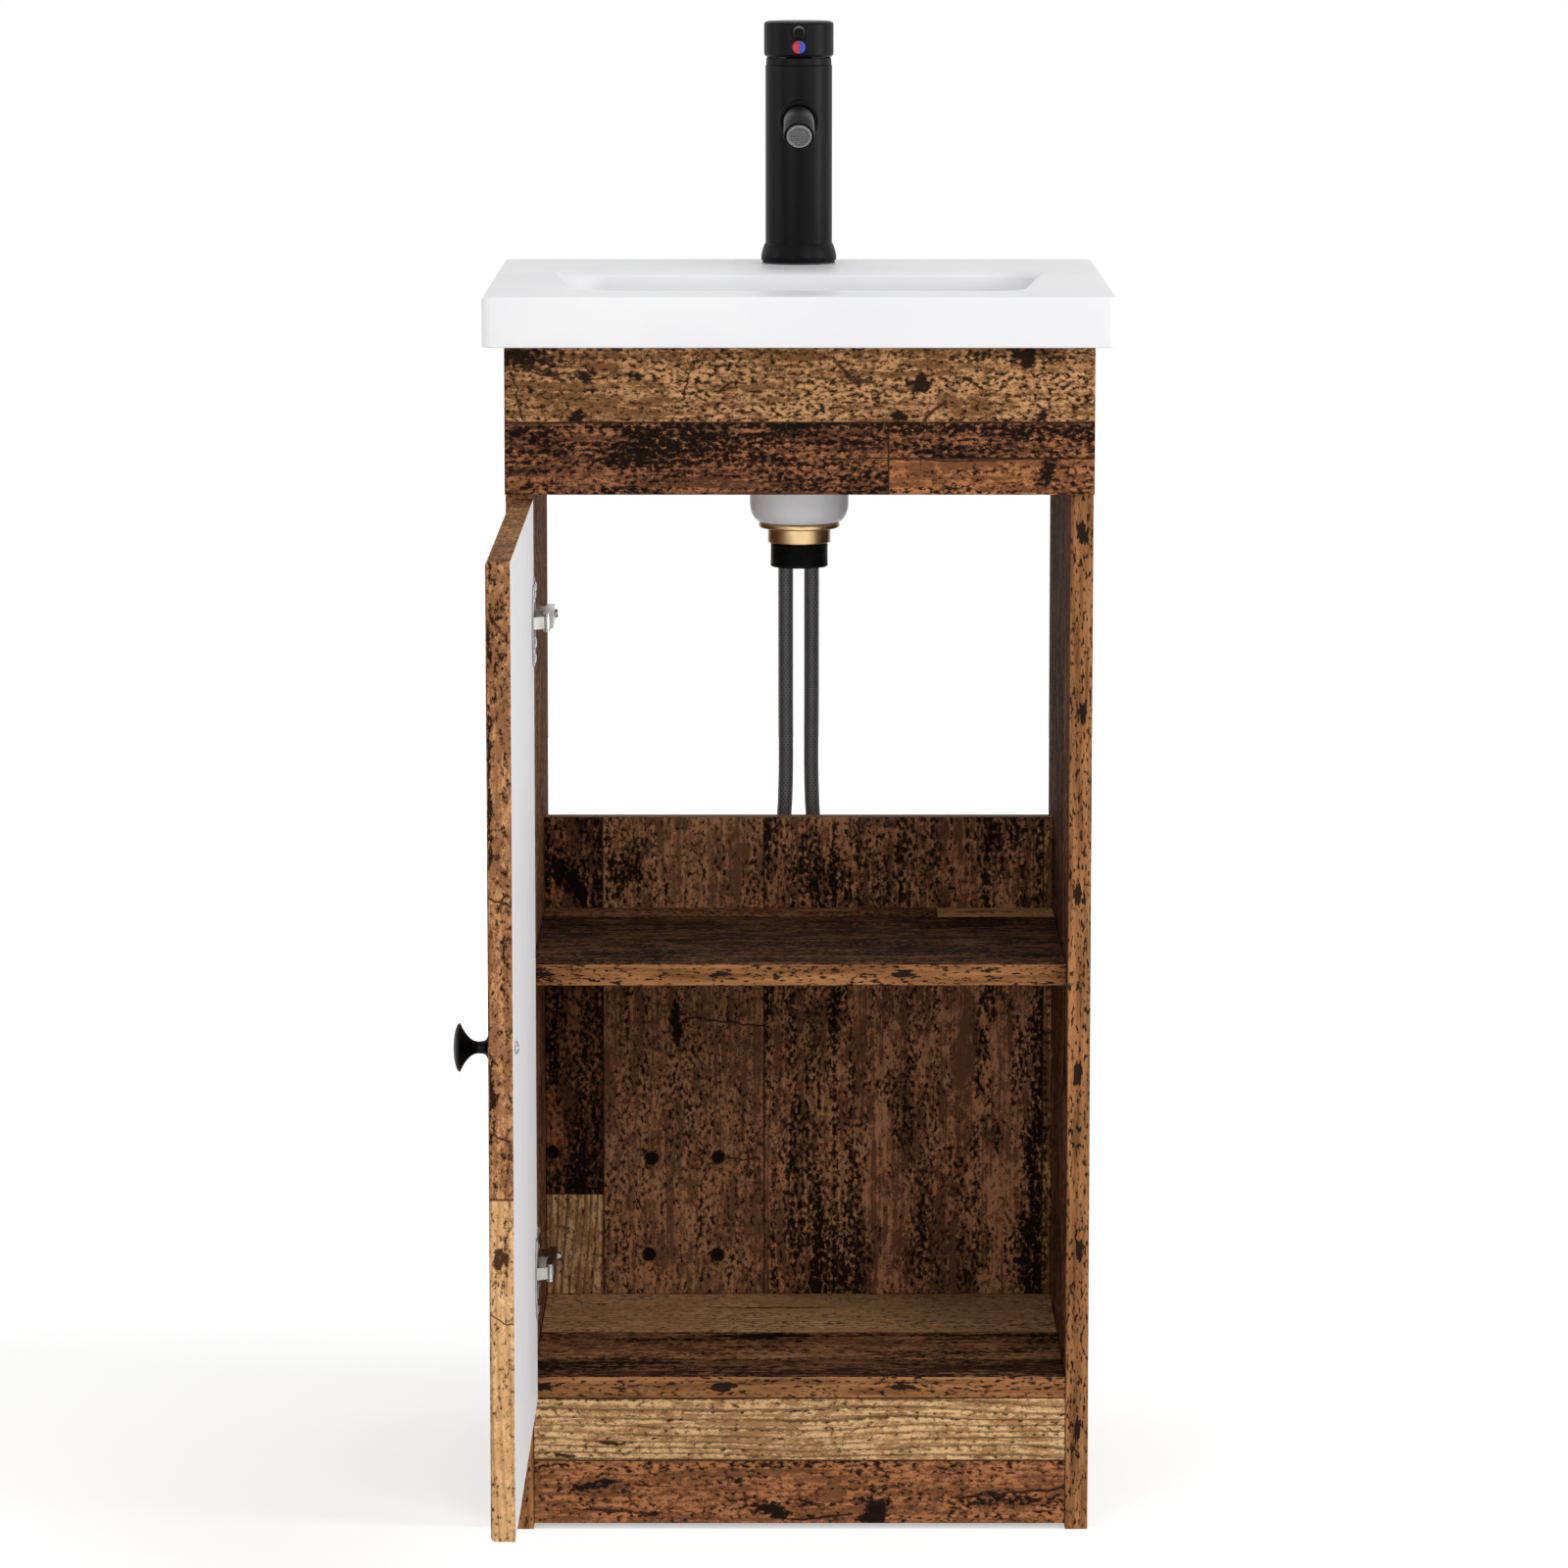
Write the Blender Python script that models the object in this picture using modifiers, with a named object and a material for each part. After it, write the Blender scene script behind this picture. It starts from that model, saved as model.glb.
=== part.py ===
"""Narrow free-standing bathroom vanity unit with an inset ceramic basin and a single-lever mixer tap.

Sizes are metres and +Z is up. The cabinet is laid out in its own frame: X to the right, Y = 0 on the
front edges of the side panels and growing towards the wall, Z = 0 on the floor. An empty then carries
that frame to the row's origin, on the floor under the middle of the box round the unit with its door open.
"""

import math

import bmesh
import bpy
from mathutils import Vector

# Fits shared by all pieces
FIT = 0.0003                     # gap between two pieces that touch
PIN_PLAY = 0.0003                # gap round a pin in its eye
CHAMFER = 0.0008                 # broken edge of a turned metal piece
FINE_CHAMFER = 0.0004            # the same on a thin or fine piece
ROUND = 32                       # sides of a large round piece
RING_ROUND = 24                  # sides of a ring or seal
SMALL_ROUND = 16                 # sides of a small round piece
EDGE_SOFTENING = 0.0006          # rounding of an edge-banded board

# Cabinet
CABINET_WIDTH = 0.383
CABINET_DEPTH = 0.345
CABINET_HEIGHT = 0.789
SIDE_THICKNESS = 0.015
BOTTOM_THICKNESS = 0.015
BOTTOM_UNDERSIDE = 0.089
PLINTH_THICKNESS = 0.015
PLINTH_LIFT = 0.004
SHELF_THICKNESS = 0.015
SHELF_UNDERSIDE = 0.363
SHELF_SETBACK = 0.019
BACK_THICKNESS = 0.015
BACK_SETBACK = 0.255
BACK_HEIGHT = 0.337
APRON_THICKNESS = 0.015
APRON_HEIGHT = 0.097
APRON_ROUNDING = 0.002
SHELF_PIN_RADIUS = 0.0025
SHELF_PIN_SEAT = 0.0095          # length of a shelf pin inside its side panel
SHELF_PIN_REACH = 0.0095         # length of a shelf pin under the shelf
SHELF_PIN_INSET = 0.045          # from the shelf's front or rear edge

# Door, hung on the left
DOOR_THICKNESS = 0.015
DOOR_SIDE_REVEAL = 0.001         # side panel left showing beside the closed door
DOOR_TOP_GAP = 0.0034
DOOR_BOTTOM_REVEAL = 0.001       # bottom panel left showing under the closed door
DOOR_STANDOFF = 0.002            # closed door to the side panels' front edges
DOOR_ROUNDING = 0.003
DOOR_OPEN_ANGLE = 90.0
DOOR_OPEN_EDGE = 0.006           # open door's hinge edge to the side panels' front edges
DOOR_OPEN_OFFSET = 0.0032        # open door's inner face, inside the side panel's inner face

# Knob
KNOB_RADIUS = 0.015
KNOB_RIM = 0.018                 # height of the knob's widest ring above the door
KNOB_DOME = 0.004                # crown above the widest ring
KNOB_NECK_RADIUS = 0.0037
KNOB_NECK_HEIGHT = 0.0065
KNOB_BASE_RADIUS = 0.007
KNOB_BASE_THICKNESS = 0.0014
KNOB_EDGE_INSET = 0.034          # knob's axis to the door's free edge
KNOB_FROM_BOTTOM = 0.299         # knob's axis above the door's lower edge
KNOB_SCREW_RADIUS = 0.002
KNOB_SCREW_BITE = 0.0075
SCREW_HEAD_RADIUS = 0.0042
SCREW_HEAD_EDGE = 0.0008         # height of the head's rim
SCREW_HEAD_DOME = 0.0016         # crown above the head's rim

# Concealed hinges
HINGE_TOP_INSET = 0.0806         # hinge's middle to the door's upper edge
HINGE_BOTTOM_INSET = 0.086       # hinge's middle to the door's lower edge
CUP_RADIUS = 0.0175              # bore in the door
CUP_EDGE = 0.003                 # wood left between the bore and the door's hinge edge
CUP_FLOOR_WOOD = 0.003           # wood left behind the bore
CUP_WALL = 0.0012
FLANGE_THICKNESS = 0.001
FLANGE_LIP = 0.001               # flange beyond the bore
FLANGE_EAR = 0.0085              # flange's ears beyond its round middle
FLANGE_END_RADIUS = 0.006
CUP_PIN_INSET = 0.0105           # cup pin to the door's hinge edge
CUP_PIN_DEPTH = 0.005            # cup pin below the door's inner face
ARM_PIN_INSET = 0.0115           # arm pin to the side panel's inner face
HINGE_PIN_RADIUS = 0.00125
LINK_EYE_WALL = 0.00065
LINK_THICKNESS = 0.0018
LINK_WIDTH = 0.008               # along the pins
ARM_SHEET = 0.0015
ARM_DEPTH = 0.0052               # height of the arm's channel, across the side panel
ARM_MOUTH = 0.0122               # slot that the link swings in, behind the arm pin
ARM_NOSE = 0.0132                # arm's slim nose, behind the arm pin
ARM_STEP = 0.006                 # slope from the nose up to the channel
PLATE_THICKNESS = 0.002
PLATE_SETBACK = 0.037            # middle of the mounting plate
PLATE_EAR = 0.0145               # plate's ears beyond its round middle
PLATE_END_RADIUS = 0.0065
PLATE_MIDDLE_RADIUS = 0.0105
RAIL_LENGTH = 0.026              # raised rail that the arm straddles
ARM_SCREW_RADIUS = 0.003
ARM_SCREW_HEAD = 0.0018
ARM_SCREW_SETBACK = 0.0065       # behind the plate's middle
ARM_END = 0.0045                 # arm beyond its screw's axis

# Ceramic basin
BASIN_SIDE_OVERHANG = 0.0135
BASIN_FRONT_OVERHANG = 0.025
BASIN_RIM_HEIGHT = 0.033
BASIN_CORNER = 0.006
BASIN_ROUNDING = 0.003
CERAMIC = 0.008
BOWL_SIDE_GAP = 0.0065           # bowl's outside to the side panels
BOWL_FRONT_GAP = 0.018           # bowl's outside to the apron
BOWL_DRAFT = 0.002               # wall's lean from the rim to the rim's underside
BOWL_TAPER = 0.021               # each side is this much narrower at the front
BOWL_DEPTH = 0.115
BOWL_CORNER = 0.030
BOWL_EDGE_FLARE = 0.006
BOWL_REAR_FLARE = 0.020
BOWL_EDGE_DROP = 0.005
FLOOR_LENGTH = 0.114             # bowl's floor, front to rear
FLOOR_HALF_WIDTH = 0.106         # at the rear, where the floor is widest
FLOOR_CORNER = 0.046
FLOOR_FALL = 0.004
TAP_DECK = 0.107                 # flat behind the bowl
DECK_THICKNESS = 0.014           # ceramic that the tap is clamped on
DECK_POCKET_WIDTH = 0.080        # hollow under the tap
DECK_POCKET_FRONT = 0.033        # hollow in front of the tap's axis

# Waste, and the drain that it sits in
TAIL_RADIUS = 0.0193
TAIL_WALL = 0.0025
TAIL_REACH = 0.030               # below the boss
TAIL_MOUTH = 0.004               # flare of the bore at the flange
TAIL_MOUTH_DEPTH = 0.0015
DRAIN_OFFSET = 0.007             # drain's axis behind the middle of the bowl's floor
DRAIN_CLEARANCE = 0.0037         # drain's bore round the tail
DRAIN_RECESS_DEPTH = 0.004
RECESS_CLEARANCE = 0.0015        # recess round the flange
WASTE_FLANGE_LIP = 0.009         # flange beyond the drain's bore
WASTE_FLANGE_THICKNESS = 0.003
WASTE_FLANGE_EDGE = 0.0012
WASTE_SEAL_THICKNESS = 0.001
WASTE_SEAL_WIDTH = 0.006
BOSS_FOOT_WALL = 0.0025
BOSS_FLARE = 0.0075              # boss wider at its root than at its foot
BOSS_FILLET = 0.004
BOSS_HEIGHT = 0.031
BOSS_CURL = 0.013                # height of the rounding into the boss's foot
WASHER_LIP = 0.0015              # washer beyond the boss's foot
WASHER_THICKNESS = 0.0036
WASHER_EDGE = 0.0012
NUT_WALL = 0.0014
NUT_HEIGHT = 0.0095
PLUG_INSET = 0.0015              # plug's edge inside the flange's edge
PLUG_THICKNESS = 0.004
PLUG_DOME = 0.0015
PLUG_STEM_RADIUS = 0.004
PLUG_STEM_LENGTH = 0.034
GUIDE_HEIGHT = 0.006
GUIDE_WALL = 0.0029
GUIDE_SPOKE = 0.004
GUIDE_DROP = 0.022               # guide's middle below the flange's top

# Supply hoses
HOSE_RADIUS = 0.0052
HOSE_SPACING = 0.018
HOSE_POINT_STEP = 0.028
HOSE_NUT_FLATS = 0.019
HOSE_NUT_HEIGHT = 0.012
HOSE_NUT_BORE = 0.0075
FERRULE_WALL = 0.0008
FERRULE_HEIGHT = 0.014
# A hose's route: outward shift from its place at the tap, and height above the floor
HOSE_ROUTE = [(0.000, 0.720), (0.000, 0.620), (0.000, 0.520), (0.000, 0.460), (0.0025, 0.420),
              (0.0095, 0.380), (0.016, 0.347), (0.016, 0.332), (0.016, 0.317)]

# Mixer tap
TAP_SETBACK = 0.041              # tap's axis to the basin's rear face
TAP_BODY_HEIGHT = 0.1345
TAP_WALL = 0.0047                # body round the cartridge
TAP_BASE_FLARE = 0.003
TAP_BASE_HEIGHT = 0.012
TAP_BASE_BAND = 0.0034           # upright band under the flare
TAP_BASE_SWELL = 0.6             # power below 1 rounds the flare outward
TAP_BASE_EDGE = 0.001
TAP_GASKET_THICKNESS = 0.0012
TAP_GASKET_WIDTH = 0.006
FOOT_BORE_CLEARANCE = 0.0021     # bore in the tap's foot, round the hoses
FOOT_BORE_DEPTH = 0.021
TAP_HOLE_CLEARANCE = 0.0012      # hole in the deck, beyond the foot's bore
CARTRIDGE_RADIUS = 0.018
CARTRIDGE_HEIGHT = 0.032
NECK_WALL = 0.004                # cartridge's neck round the rotor
NECK_RECESS = 0.001              # neck below the bonnet's top
BONNET_HEIGHT = 0.005
BONNET_INSET = 0.0004            # bonnet inside the body's outline
BONNET_TAPER = 0.0008
BONNET_BAND = 0.001              # upright band under the bonnet's taper
ROTOR_RADIUS = 0.009
ROTOR_DEPTH = 0.018              # rotor's foot below the bonnet's top
ROTOR_EAR = 0.0036               # rotor's ears above the lever's pivot
EAR_CLEARANCE = 0.0049           # cap's cavity above the ears
STEM_SIDE = 0.008
STEM_EDGE = 0.0005
STEM_DROP = 0.0095               # stem's foot below the lever's pivot
STEM_GRIP = 0.010                # stem's length inside the cap's ceiling
STEM_WELL = 0.002                # slot in the rotor below the stem's foot
CAP_OVERHANG = 0.001             # cap beyond the body's outline
CAP_WALL = 0.0045
CAP_CEILING = 0.016
CAP_ROUNDING = 0.0025
CAP_TOP_EDGE = 0.0012
LEVER_RADIUS = 0.0038
LEVER_COLLAR_LIP = 0.0022
LEVER_COLLAR = 0.003
LEVER_LENGTH = 0.055             # from the cap's front
LEVER_DROP = 0.0062              # lever's axis below the cap's top
LEVER_STUD_RADIUS = 0.0025
LEVER_STUD_LENGTH = 0.008
LEVER_LIFT_ANGLE = 18.0
LIFT_RELIEF_ANGLE = 1.5          # extra slope under the rear of the cap
DOT_RADIUS = 0.0044
DOT_DEPTH = 0.003
DOT_GAP = 0.0007                 # dot below the lever's collar
SPOUT_DROP = 0.0375              # spout's axis below the body's top
SPOUT_RADIUS = 0.0104
SPOUT_COLLAR_LIP = 0.0036
SPOUT_COLLAR = 0.004
SPOUT_REACH = 0.115              # from the tap's axis to the outlet
SPOUT_TIP_ANGLE = 28.0
SPOUT_TIP = 0.008                # straight length of the bent tip
SPOUT_BEND = 0.024               # radius of the bend
SPOUT_WALL = 0.0016              # spout round the aerator
AERATOR_DEPTH = 0.006
AERATOR_PROUD = 0.0008
AERATOR_RIM = 0.0013
AERATOR_DISH = 0.0006            # aerator's face below its rim
STUD_RADIUS = 0.003
STUD_CLEARANCE = 0.0018          # stud to the foot's bore
STUD_REACH = 0.022               # below the deck
CLAMP_RADIUS = 0.024
CLAMP_THICKNESS = 0.003
CLAMP_NUT_FLATS = 0.010
CLAMP_NUT_HEIGHT = 0.006

# Places worked out from the sizes above
HALF_WIDTH = CABINET_WIDTH / 2
INNER_HALF = HALF_WIDTH - SIDE_THICKNESS
BOTTOM_TOP = BOTTOM_UNDERSIDE + BOTTOM_THICKNESS
SHELF_TOP = SHELF_UNDERSIDE + SHELF_THICKNESS
BACK_REAR = BACK_SETBACK + BACK_THICKNESS
APRON_BOTTOM = CABINET_HEIGHT - APRON_HEIGHT

DOOR_WIDTH = CABINET_WIDTH - 2 * DOOR_SIDE_REVEAL
DOOR_BOTTOM = BOTTOM_UNDERSIDE + DOOR_BOTTOM_REVEAL
DOOR_TOP = APRON_BOTTOM - DOOR_TOP_GAP
HINGE_HEIGHTS = {"upper": DOOR_TOP - HINGE_TOP_INSET, "lower": DOOR_BOTTOM + HINGE_BOTTOM_INSET}
LINK_EYE_RADIUS = HINGE_PIN_RADIUS + PIN_PLAY + LINK_EYE_WALL

BASIN_BOTTOM = CABINET_HEIGHT + FIT
BASIN_TOP = BASIN_BOTTOM + BASIN_RIM_HEIGHT
BASIN_HALF = HALF_WIDTH + BASIN_SIDE_OVERHANG
BASIN_FRONT = -APRON_THICKNESS - BASIN_FRONT_OVERHANG
BASIN_REAR = CABINET_DEPTH
BOWL_SHELL = CERAMIC - BOWL_DRAFT
BOWL_WALL_FRONT = BOWL_FRONT_GAP + BOWL_SHELL
BOWL_WALL_REAR = BASIN_REAR - TAP_DECK - BOWL_REAR_FLARE
BOWL_FLOOR = BASIN_TOP - BOWL_DEPTH

DRAIN_Y = (BOWL_WALL_FRONT + BOWL_WALL_REAR) / 2 + DRAIN_OFFSET
DRAIN_TOP = BOWL_FLOOR - FLOOR_FALL
DRAIN_RADIUS = TAIL_RADIUS + DRAIN_CLEARANCE
WASTE_FLANGE_RADIUS = DRAIN_RADIUS + WASTE_FLANGE_LIP
DRAIN_RECESS_RADIUS = WASTE_FLANGE_RADIUS + RECESS_CLEARANCE
BOSS_TOP = DRAIN_TOP - DRAIN_RECESS_DEPTH - CERAMIC
BOSS_BOTTOM = BOSS_TOP - BOSS_HEIGHT
BOSS_FOOT_RADIUS = DRAIN_RADIUS + BOSS_FOOT_WALL
BOSS_RADIUS = BOSS_FOOT_RADIUS + BOSS_FLARE

TAP_Y = BASIN_REAR - TAP_SETBACK
TAP_FOOT = BASIN_TOP + TAP_GASKET_THICKNESS + 2 * FIT
TAP_TOP = TAP_FOOT + TAP_BODY_HEIGHT
TAP_BODY_RADIUS = CARTRIDGE_RADIUS + FIT + TAP_WALL
TAP_BASE_RADIUS = TAP_BODY_RADIUS + TAP_BASE_FLARE
FOOT_BORE_RADIUS = HOSE_SPACING / 2 + HOSE_RADIUS + FOOT_BORE_CLEARANCE
FOOT_BORE_TOP = TAP_FOOT + FOOT_BORE_DEPTH
BONNET_TOP = TAP_TOP + FIT + BONNET_HEIGHT
LEVER_PIVOT = BONNET_TOP + FIT
CAP_RADIUS = TAP_BODY_RADIUS + CAP_OVERHANG
CAP_CAVITY = ROTOR_EAR + EAR_CLEARANCE
CAP_HEIGHT = CAP_CAVITY + CAP_CEILING
LEVER_COLLAR_RADIUS = LEVER_RADIUS + LEVER_COLLAR_LIP

QUARTER = math.pi / 2
ALONG_X = (0, QUARTER, 0)
ALONG_Y = (QUARTER, 0, 0)
ALONG_Z = (0, 0, 0)


def hinge_layout():
    """Arm pin, cup pin and link swing: the link's two ends of travel put the arm pin on their bisector."""
    closed = Vector((-DOOR_WIDTH / 2 + CUP_PIN_INSET, -DOOR_STANDOFF - CUP_PIN_DEPTH))
    opened = Vector((-INNER_HALF + DOOR_OPEN_OFFSET - CUP_PIN_DEPTH, -DOOR_OPEN_EDGE - CUP_PIN_INSET))
    middle = (closed + opened) / 2
    across = (opened - closed).orthogonal().normalized()
    arm_x = -INNER_HALF + ARM_PIN_INSET
    arm = middle + across * ((arm_x - middle.x) / across.x)
    swing = (closed - arm).angle_signed(opened - arm)
    return arm, closed, opened, -swing


ARM_PIN, CUP_PIN, CUP_PIN_OPEN, LINK_SWING = hinge_layout()


def clear_scene():
    for obj in list(bpy.data.objects):
        bpy.data.objects.remove(obj, do_unlink=True)


def new_collection(name):
    made = bpy.data.collections.new(name)
    bpy.context.scene.collection.children.link(made)
    return made


def finish(name, colour, roughness, metallic=0.0):
    """A Principled material of one colour."""
    material = bpy.data.materials.new(name)
    material.use_nodes = True
    shader = material.node_tree.nodes["Principled BSDF"]
    shader.inputs["Base Color"].default_value = (*colour, 1)
    shader.inputs["Roughness"].default_value = roughness
    shader.inputs["Metallic"].default_value = metallic
    return material


clear_scene()
PARTS = new_collection("vanity_unit")
CUTTERS = new_collection("cutters")
OLD_WOOD = finish("old_wood", (0.19, 0.10, 0.05), 0.55)
GREY_MELAMINE = finish("grey_melamine", (0.64, 0.64, 0.65), 0.45)
CERAMIC_WHITE = finish("white_ceramic", (0.83, 0.83, 0.83), 0.12)
MATT_BLACK = finish("matt_black", (0.012, 0.012, 0.012), 0.38, 0.6)
BLACK_PLASTIC = finish("black_plastic", (0.010, 0.010, 0.010), 0.5)
NICKEL = finish("nickel", (0.72, 0.72, 0.73), 0.22, 1.0)
BRASS = finish("brass", (0.72, 0.52, 0.26), 0.3, 1.0)
RUBBER = finish("rubber", (0.02, 0.02, 0.02), 0.8)
BRAID = finish("hose_braid", (0.10, 0.10, 0.11), 0.45, 0.3)
GREY_INSERT = finish("grey_insert", (0.16, 0.16, 0.17), 0.5)
DOT_ENAMEL = finish("dot_enamel", (0.35, 0.08, 0.20), 0.3)


def empty(name, parent, at, turn=0.0):
    """An empty that carries a body, turned about Z."""
    obj = bpy.data.objects.new(name, None)
    obj.empty_display_size = 0.02
    PARTS.objects.link(obj)
    obj.parent = parent
    obj.location = at
    obj.rotation_euler = (0, 0, turn)
    return obj


def add(name, data, material, parent, at, turn=ALONG_Z):
    """A piece of the unit, or a hidden cutter where no material is given."""
    obj = bpy.data.objects.new(name, data)
    obj.parent = parent
    obj.location = at
    obj.rotation_euler = turn
    if material:
        data.materials.append(material)
        PARTS.objects.link(obj)
    else:
        obj.hide_render = True
        obj.display_type = "WIRE"
        CUTTERS.objects.link(obj)
    return obj


def mesh_from(name, bm, smooth=True):
    mesh = bpy.data.meshes.new(name)
    bm.to_mesh(mesh)
    bm.free()
    if smooth:
        mesh.shade_smooth()
        mesh.set_sharp_from_angle(angle=math.radians(35))
    return mesh


def box(name, low, high, material, parent, softened=EDGE_SOFTENING):
    """A board between two corners, with softened edges."""
    low, high = Vector(low), Vector(high)
    bm = bmesh.new()
    bmesh.ops.create_cube(bm, size=1)
    bmesh.ops.scale(bm, verts=bm.verts, vec=high - low)
    obj = add(name, mesh_from(name, bm, smooth=False), material, parent, (low + high) / 2)
    if softened:
        bevel = obj.modifiers.new("softened_edges", "BEVEL")
        bevel.width = softened
        bevel.segments = 1
    return obj


def rounded_front_board(name, low, high, radius, material, parent):
    """A board whose edges round off into its face towards -Y, as a foil-wrapped front has them."""
    low, high = Vector(low), Vector(high)
    bm = bmesh.new()
    bmesh.ops.create_cube(bm, size=1)
    bmesh.ops.scale(bm, verts=bm.verts, vec=high - low)
    front = [edge for edge in bm.edges if all(vert.co.y < 0 for vert in edge.verts)]
    bmesh.ops.bevel(bm, geom=front, offset=radius, segments=4, profile=0.5, affect="EDGES")
    return add(name, mesh_from(name, bm), material, parent, (low + high) / 2)


def rod(name, radius, length, material, parent, at, turn=ALONG_Z, sides=SMALL_ROUND):
    """A cylinder about its middle, or a hexagonal prism with six sides."""
    bm = bmesh.new()
    bmesh.ops.create_cone(bm, cap_ends=True, segments=sides, radius1=radius, radius2=radius, depth=length)
    return add(name, mesh_from(name, bm), material, parent, at, turn)


def turned(name, profile, material, parent, at, turn=ALONG_Z, sides=ROUND, ring=False):
    """A profile of (radius, height) points, run down its outer side, spun about Z."""
    points = [(radius, 0, height) for radius, height in profile]
    edges = [(i, i + 1) for i in range(len(points) - 1)]
    if ring:
        edges.append((len(points) - 1, 0))
    mesh = bpy.data.meshes.new(name)
    mesh.from_pydata(points, edges, [])
    obj = add(name, mesh, material, parent, at, turn)
    spin = obj.modifiers.new("spin", "SCREW")
    spin.steps = sides
    spin.render_steps = sides
    spin.use_merge_vertices = True
    spin.merge_threshold = 0.00001
    return obj


def ring_profile(outer, inner, bottom, top, rounding=0.0):
    """A ring's section, with its outer edges chamfered."""
    return [(inner, top), (outer - rounding, top), (outer, top - rounding),
            (outer, bottom + rounding), (outer - rounding, bottom), (inner, bottom)]


def arc(centre, radius, start, stop, steps):
    """Points on an arc between two angles in degrees."""
    angles = [math.radians(start + (stop - start) * i / steps) for i in range(steps + 1)]
    return [(centre[0] + radius * math.cos(a), centre[1] + radius * math.sin(a)) for a in angles]


def plate(name, outlines, thickness, material, parent, at, turn=ALONG_Z):
    """A flat outline with its holes, given a thickness about its middle and made a mesh."""
    curve = bpy.data.curves.new(name, "CURVE")
    curve.dimensions = "2D"
    curve.fill_mode = "BOTH"
    curve.extrude = thickness / 2
    for outline in outlines:
        spline = curve.splines.new("POLY")
        spline.points.add(len(outline) - 1)
        for point, (x, y) in zip(spline.points, outline):
            point.co = (x, y, 0, 1)
        spline.use_cyclic_u = True
    return add(name, solid_of(name, curve), material, parent, at, turn)


def solid_of(name, curve):
    """The welded mesh of a curve."""
    guide = bpy.data.objects.new(name + "_guide", curve)
    CUTTERS.objects.link(guide)
    bpy.context.view_layer.update()
    mesh = bpy.data.meshes.new_from_object(guide.evaluated_get(bpy.context.evaluated_depsgraph_get()))
    bpy.data.objects.remove(guide, do_unlink=True)
    bm = bmesh.new()
    bm.from_mesh(mesh)
    bmesh.ops.remove_doubles(bm, verts=bm.verts, dist=0.000001)
    bmesh.ops.recalc_face_normals(bm, faces=bm.faces)
    bm.to_mesh(mesh)
    bm.free()
    mesh.name = name
    mesh.shade_smooth()
    mesh.set_sharp_from_angle(angle=math.radians(35))
    return mesh


def tube(name, points, radius, resolution):
    """A round tube along points, as a curve with closed ends."""
    curve = bpy.data.curves.new(name, "CURVE")
    curve.dimensions = "3D"
    curve.bevel_depth = radius
    curve.bevel_resolution = resolution
    curve.use_fill_caps = True
    spline = curve.splines.new("POLY")
    spline.points.add(len(points) - 1)
    for point, place in zip(spline.points, points):
        point.co = (*place, 1)
    return curve


def combine(obj, operation, *others):
    """Cuts the others from a piece, or joins them to it."""
    for other in others:
        boolean = obj.modifiers.new(other.name, "BOOLEAN")
        boolean.operation = operation
        boolean.object = other
    return obj


def ring_points(centre, radius, sides):
    """Points round a full circle."""
    return arc(centre, radius, 0, 360 - 360 / sides, sides - 1)


def lens_outline(middle, end, ear):
    """A flange's outline: a round middle and two end circles, with straight flanks, along Y."""
    reach = middle + ear - end
    lean = math.degrees(math.asin((middle - end) / reach))
    return (arc((0, 0), middle, -lean, lean, 6) + arc((0, reach), end, lean, 180 - lean, 8)
            + arc((0, 0), middle, 180 - lean, 180 + lean, 6)
            + arc((0, -reach), end, 180 + lean, 360 - lean, 8))


# Cabinet boards
def build_carcass(frame):
    pin_half = (SHELF_PIN_SEAT + SHELF_PIN_REACH) / 2
    pin_z = SHELF_UNDERSIDE - FIT - SHELF_PIN_RADIUS
    pin_rows = {"front": SHELF_SETBACK + SHELF_PIN_INSET, "rear": BACK_SETBACK - SHELF_PIN_INSET}
    for side, sign in (("left", -1), ("right", 1)):
        inner, outer = sign * INNER_HALF, sign * HALF_WIDTH
        panel = box(f"{side}_side_panel", (min(inner, outer), 0, 0),
                    (max(inner, outer), CABINET_DEPTH, CABINET_HEIGHT), OLD_WOOD, frame)
        for row, y in pin_rows.items():
            name = f"shelf_pin_{side}_{row}"
            pin_x = inner + sign * (SHELF_PIN_SEAT - pin_half)
            rod(name, SHELF_PIN_RADIUS, 2 * pin_half, NICKEL, frame, (pin_x, y, pin_z), ALONG_X)
            seat = rod(name + "_seat", SHELF_PIN_RADIUS + FIT, 2 * (SHELF_PIN_SEAT + FIT), None, frame,
                       (inner, y, pin_z), ALONG_X)
            combine(panel, "DIFFERENCE", seat)
    reach = INNER_HALF - FIT
    box("bottom_panel", (-reach, 0, BOTTOM_UNDERSIDE), (reach, BACK_REAR, BOTTOM_TOP), OLD_WOOD, frame)
    box("plinth", (-reach, 0, PLINTH_LIFT), (reach, PLINTH_THICKNESS, BOTTOM_UNDERSIDE - FIT),
        OLD_WOOD, frame)
    box("shelf", (-reach, SHELF_SETBACK, SHELF_UNDERSIDE), (reach, BACK_SETBACK - FIT, SHELF_TOP),
        OLD_WOOD, frame)
    back_low = BOTTOM_TOP + FIT
    box("back_panel", (-reach, BACK_SETBACK, back_low), (reach, BACK_REAR, back_low + BACK_HEIGHT),
        OLD_WOOD, frame)
    rounded_front_board("apron", (-HALF_WIDTH, -APRON_THICKNESS - FIT, APRON_BOTTOM),
                        (HALF_WIDTH, -FIT, CABINET_HEIGHT), APRON_ROUNDING, OLD_WOOD, frame)


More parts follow.
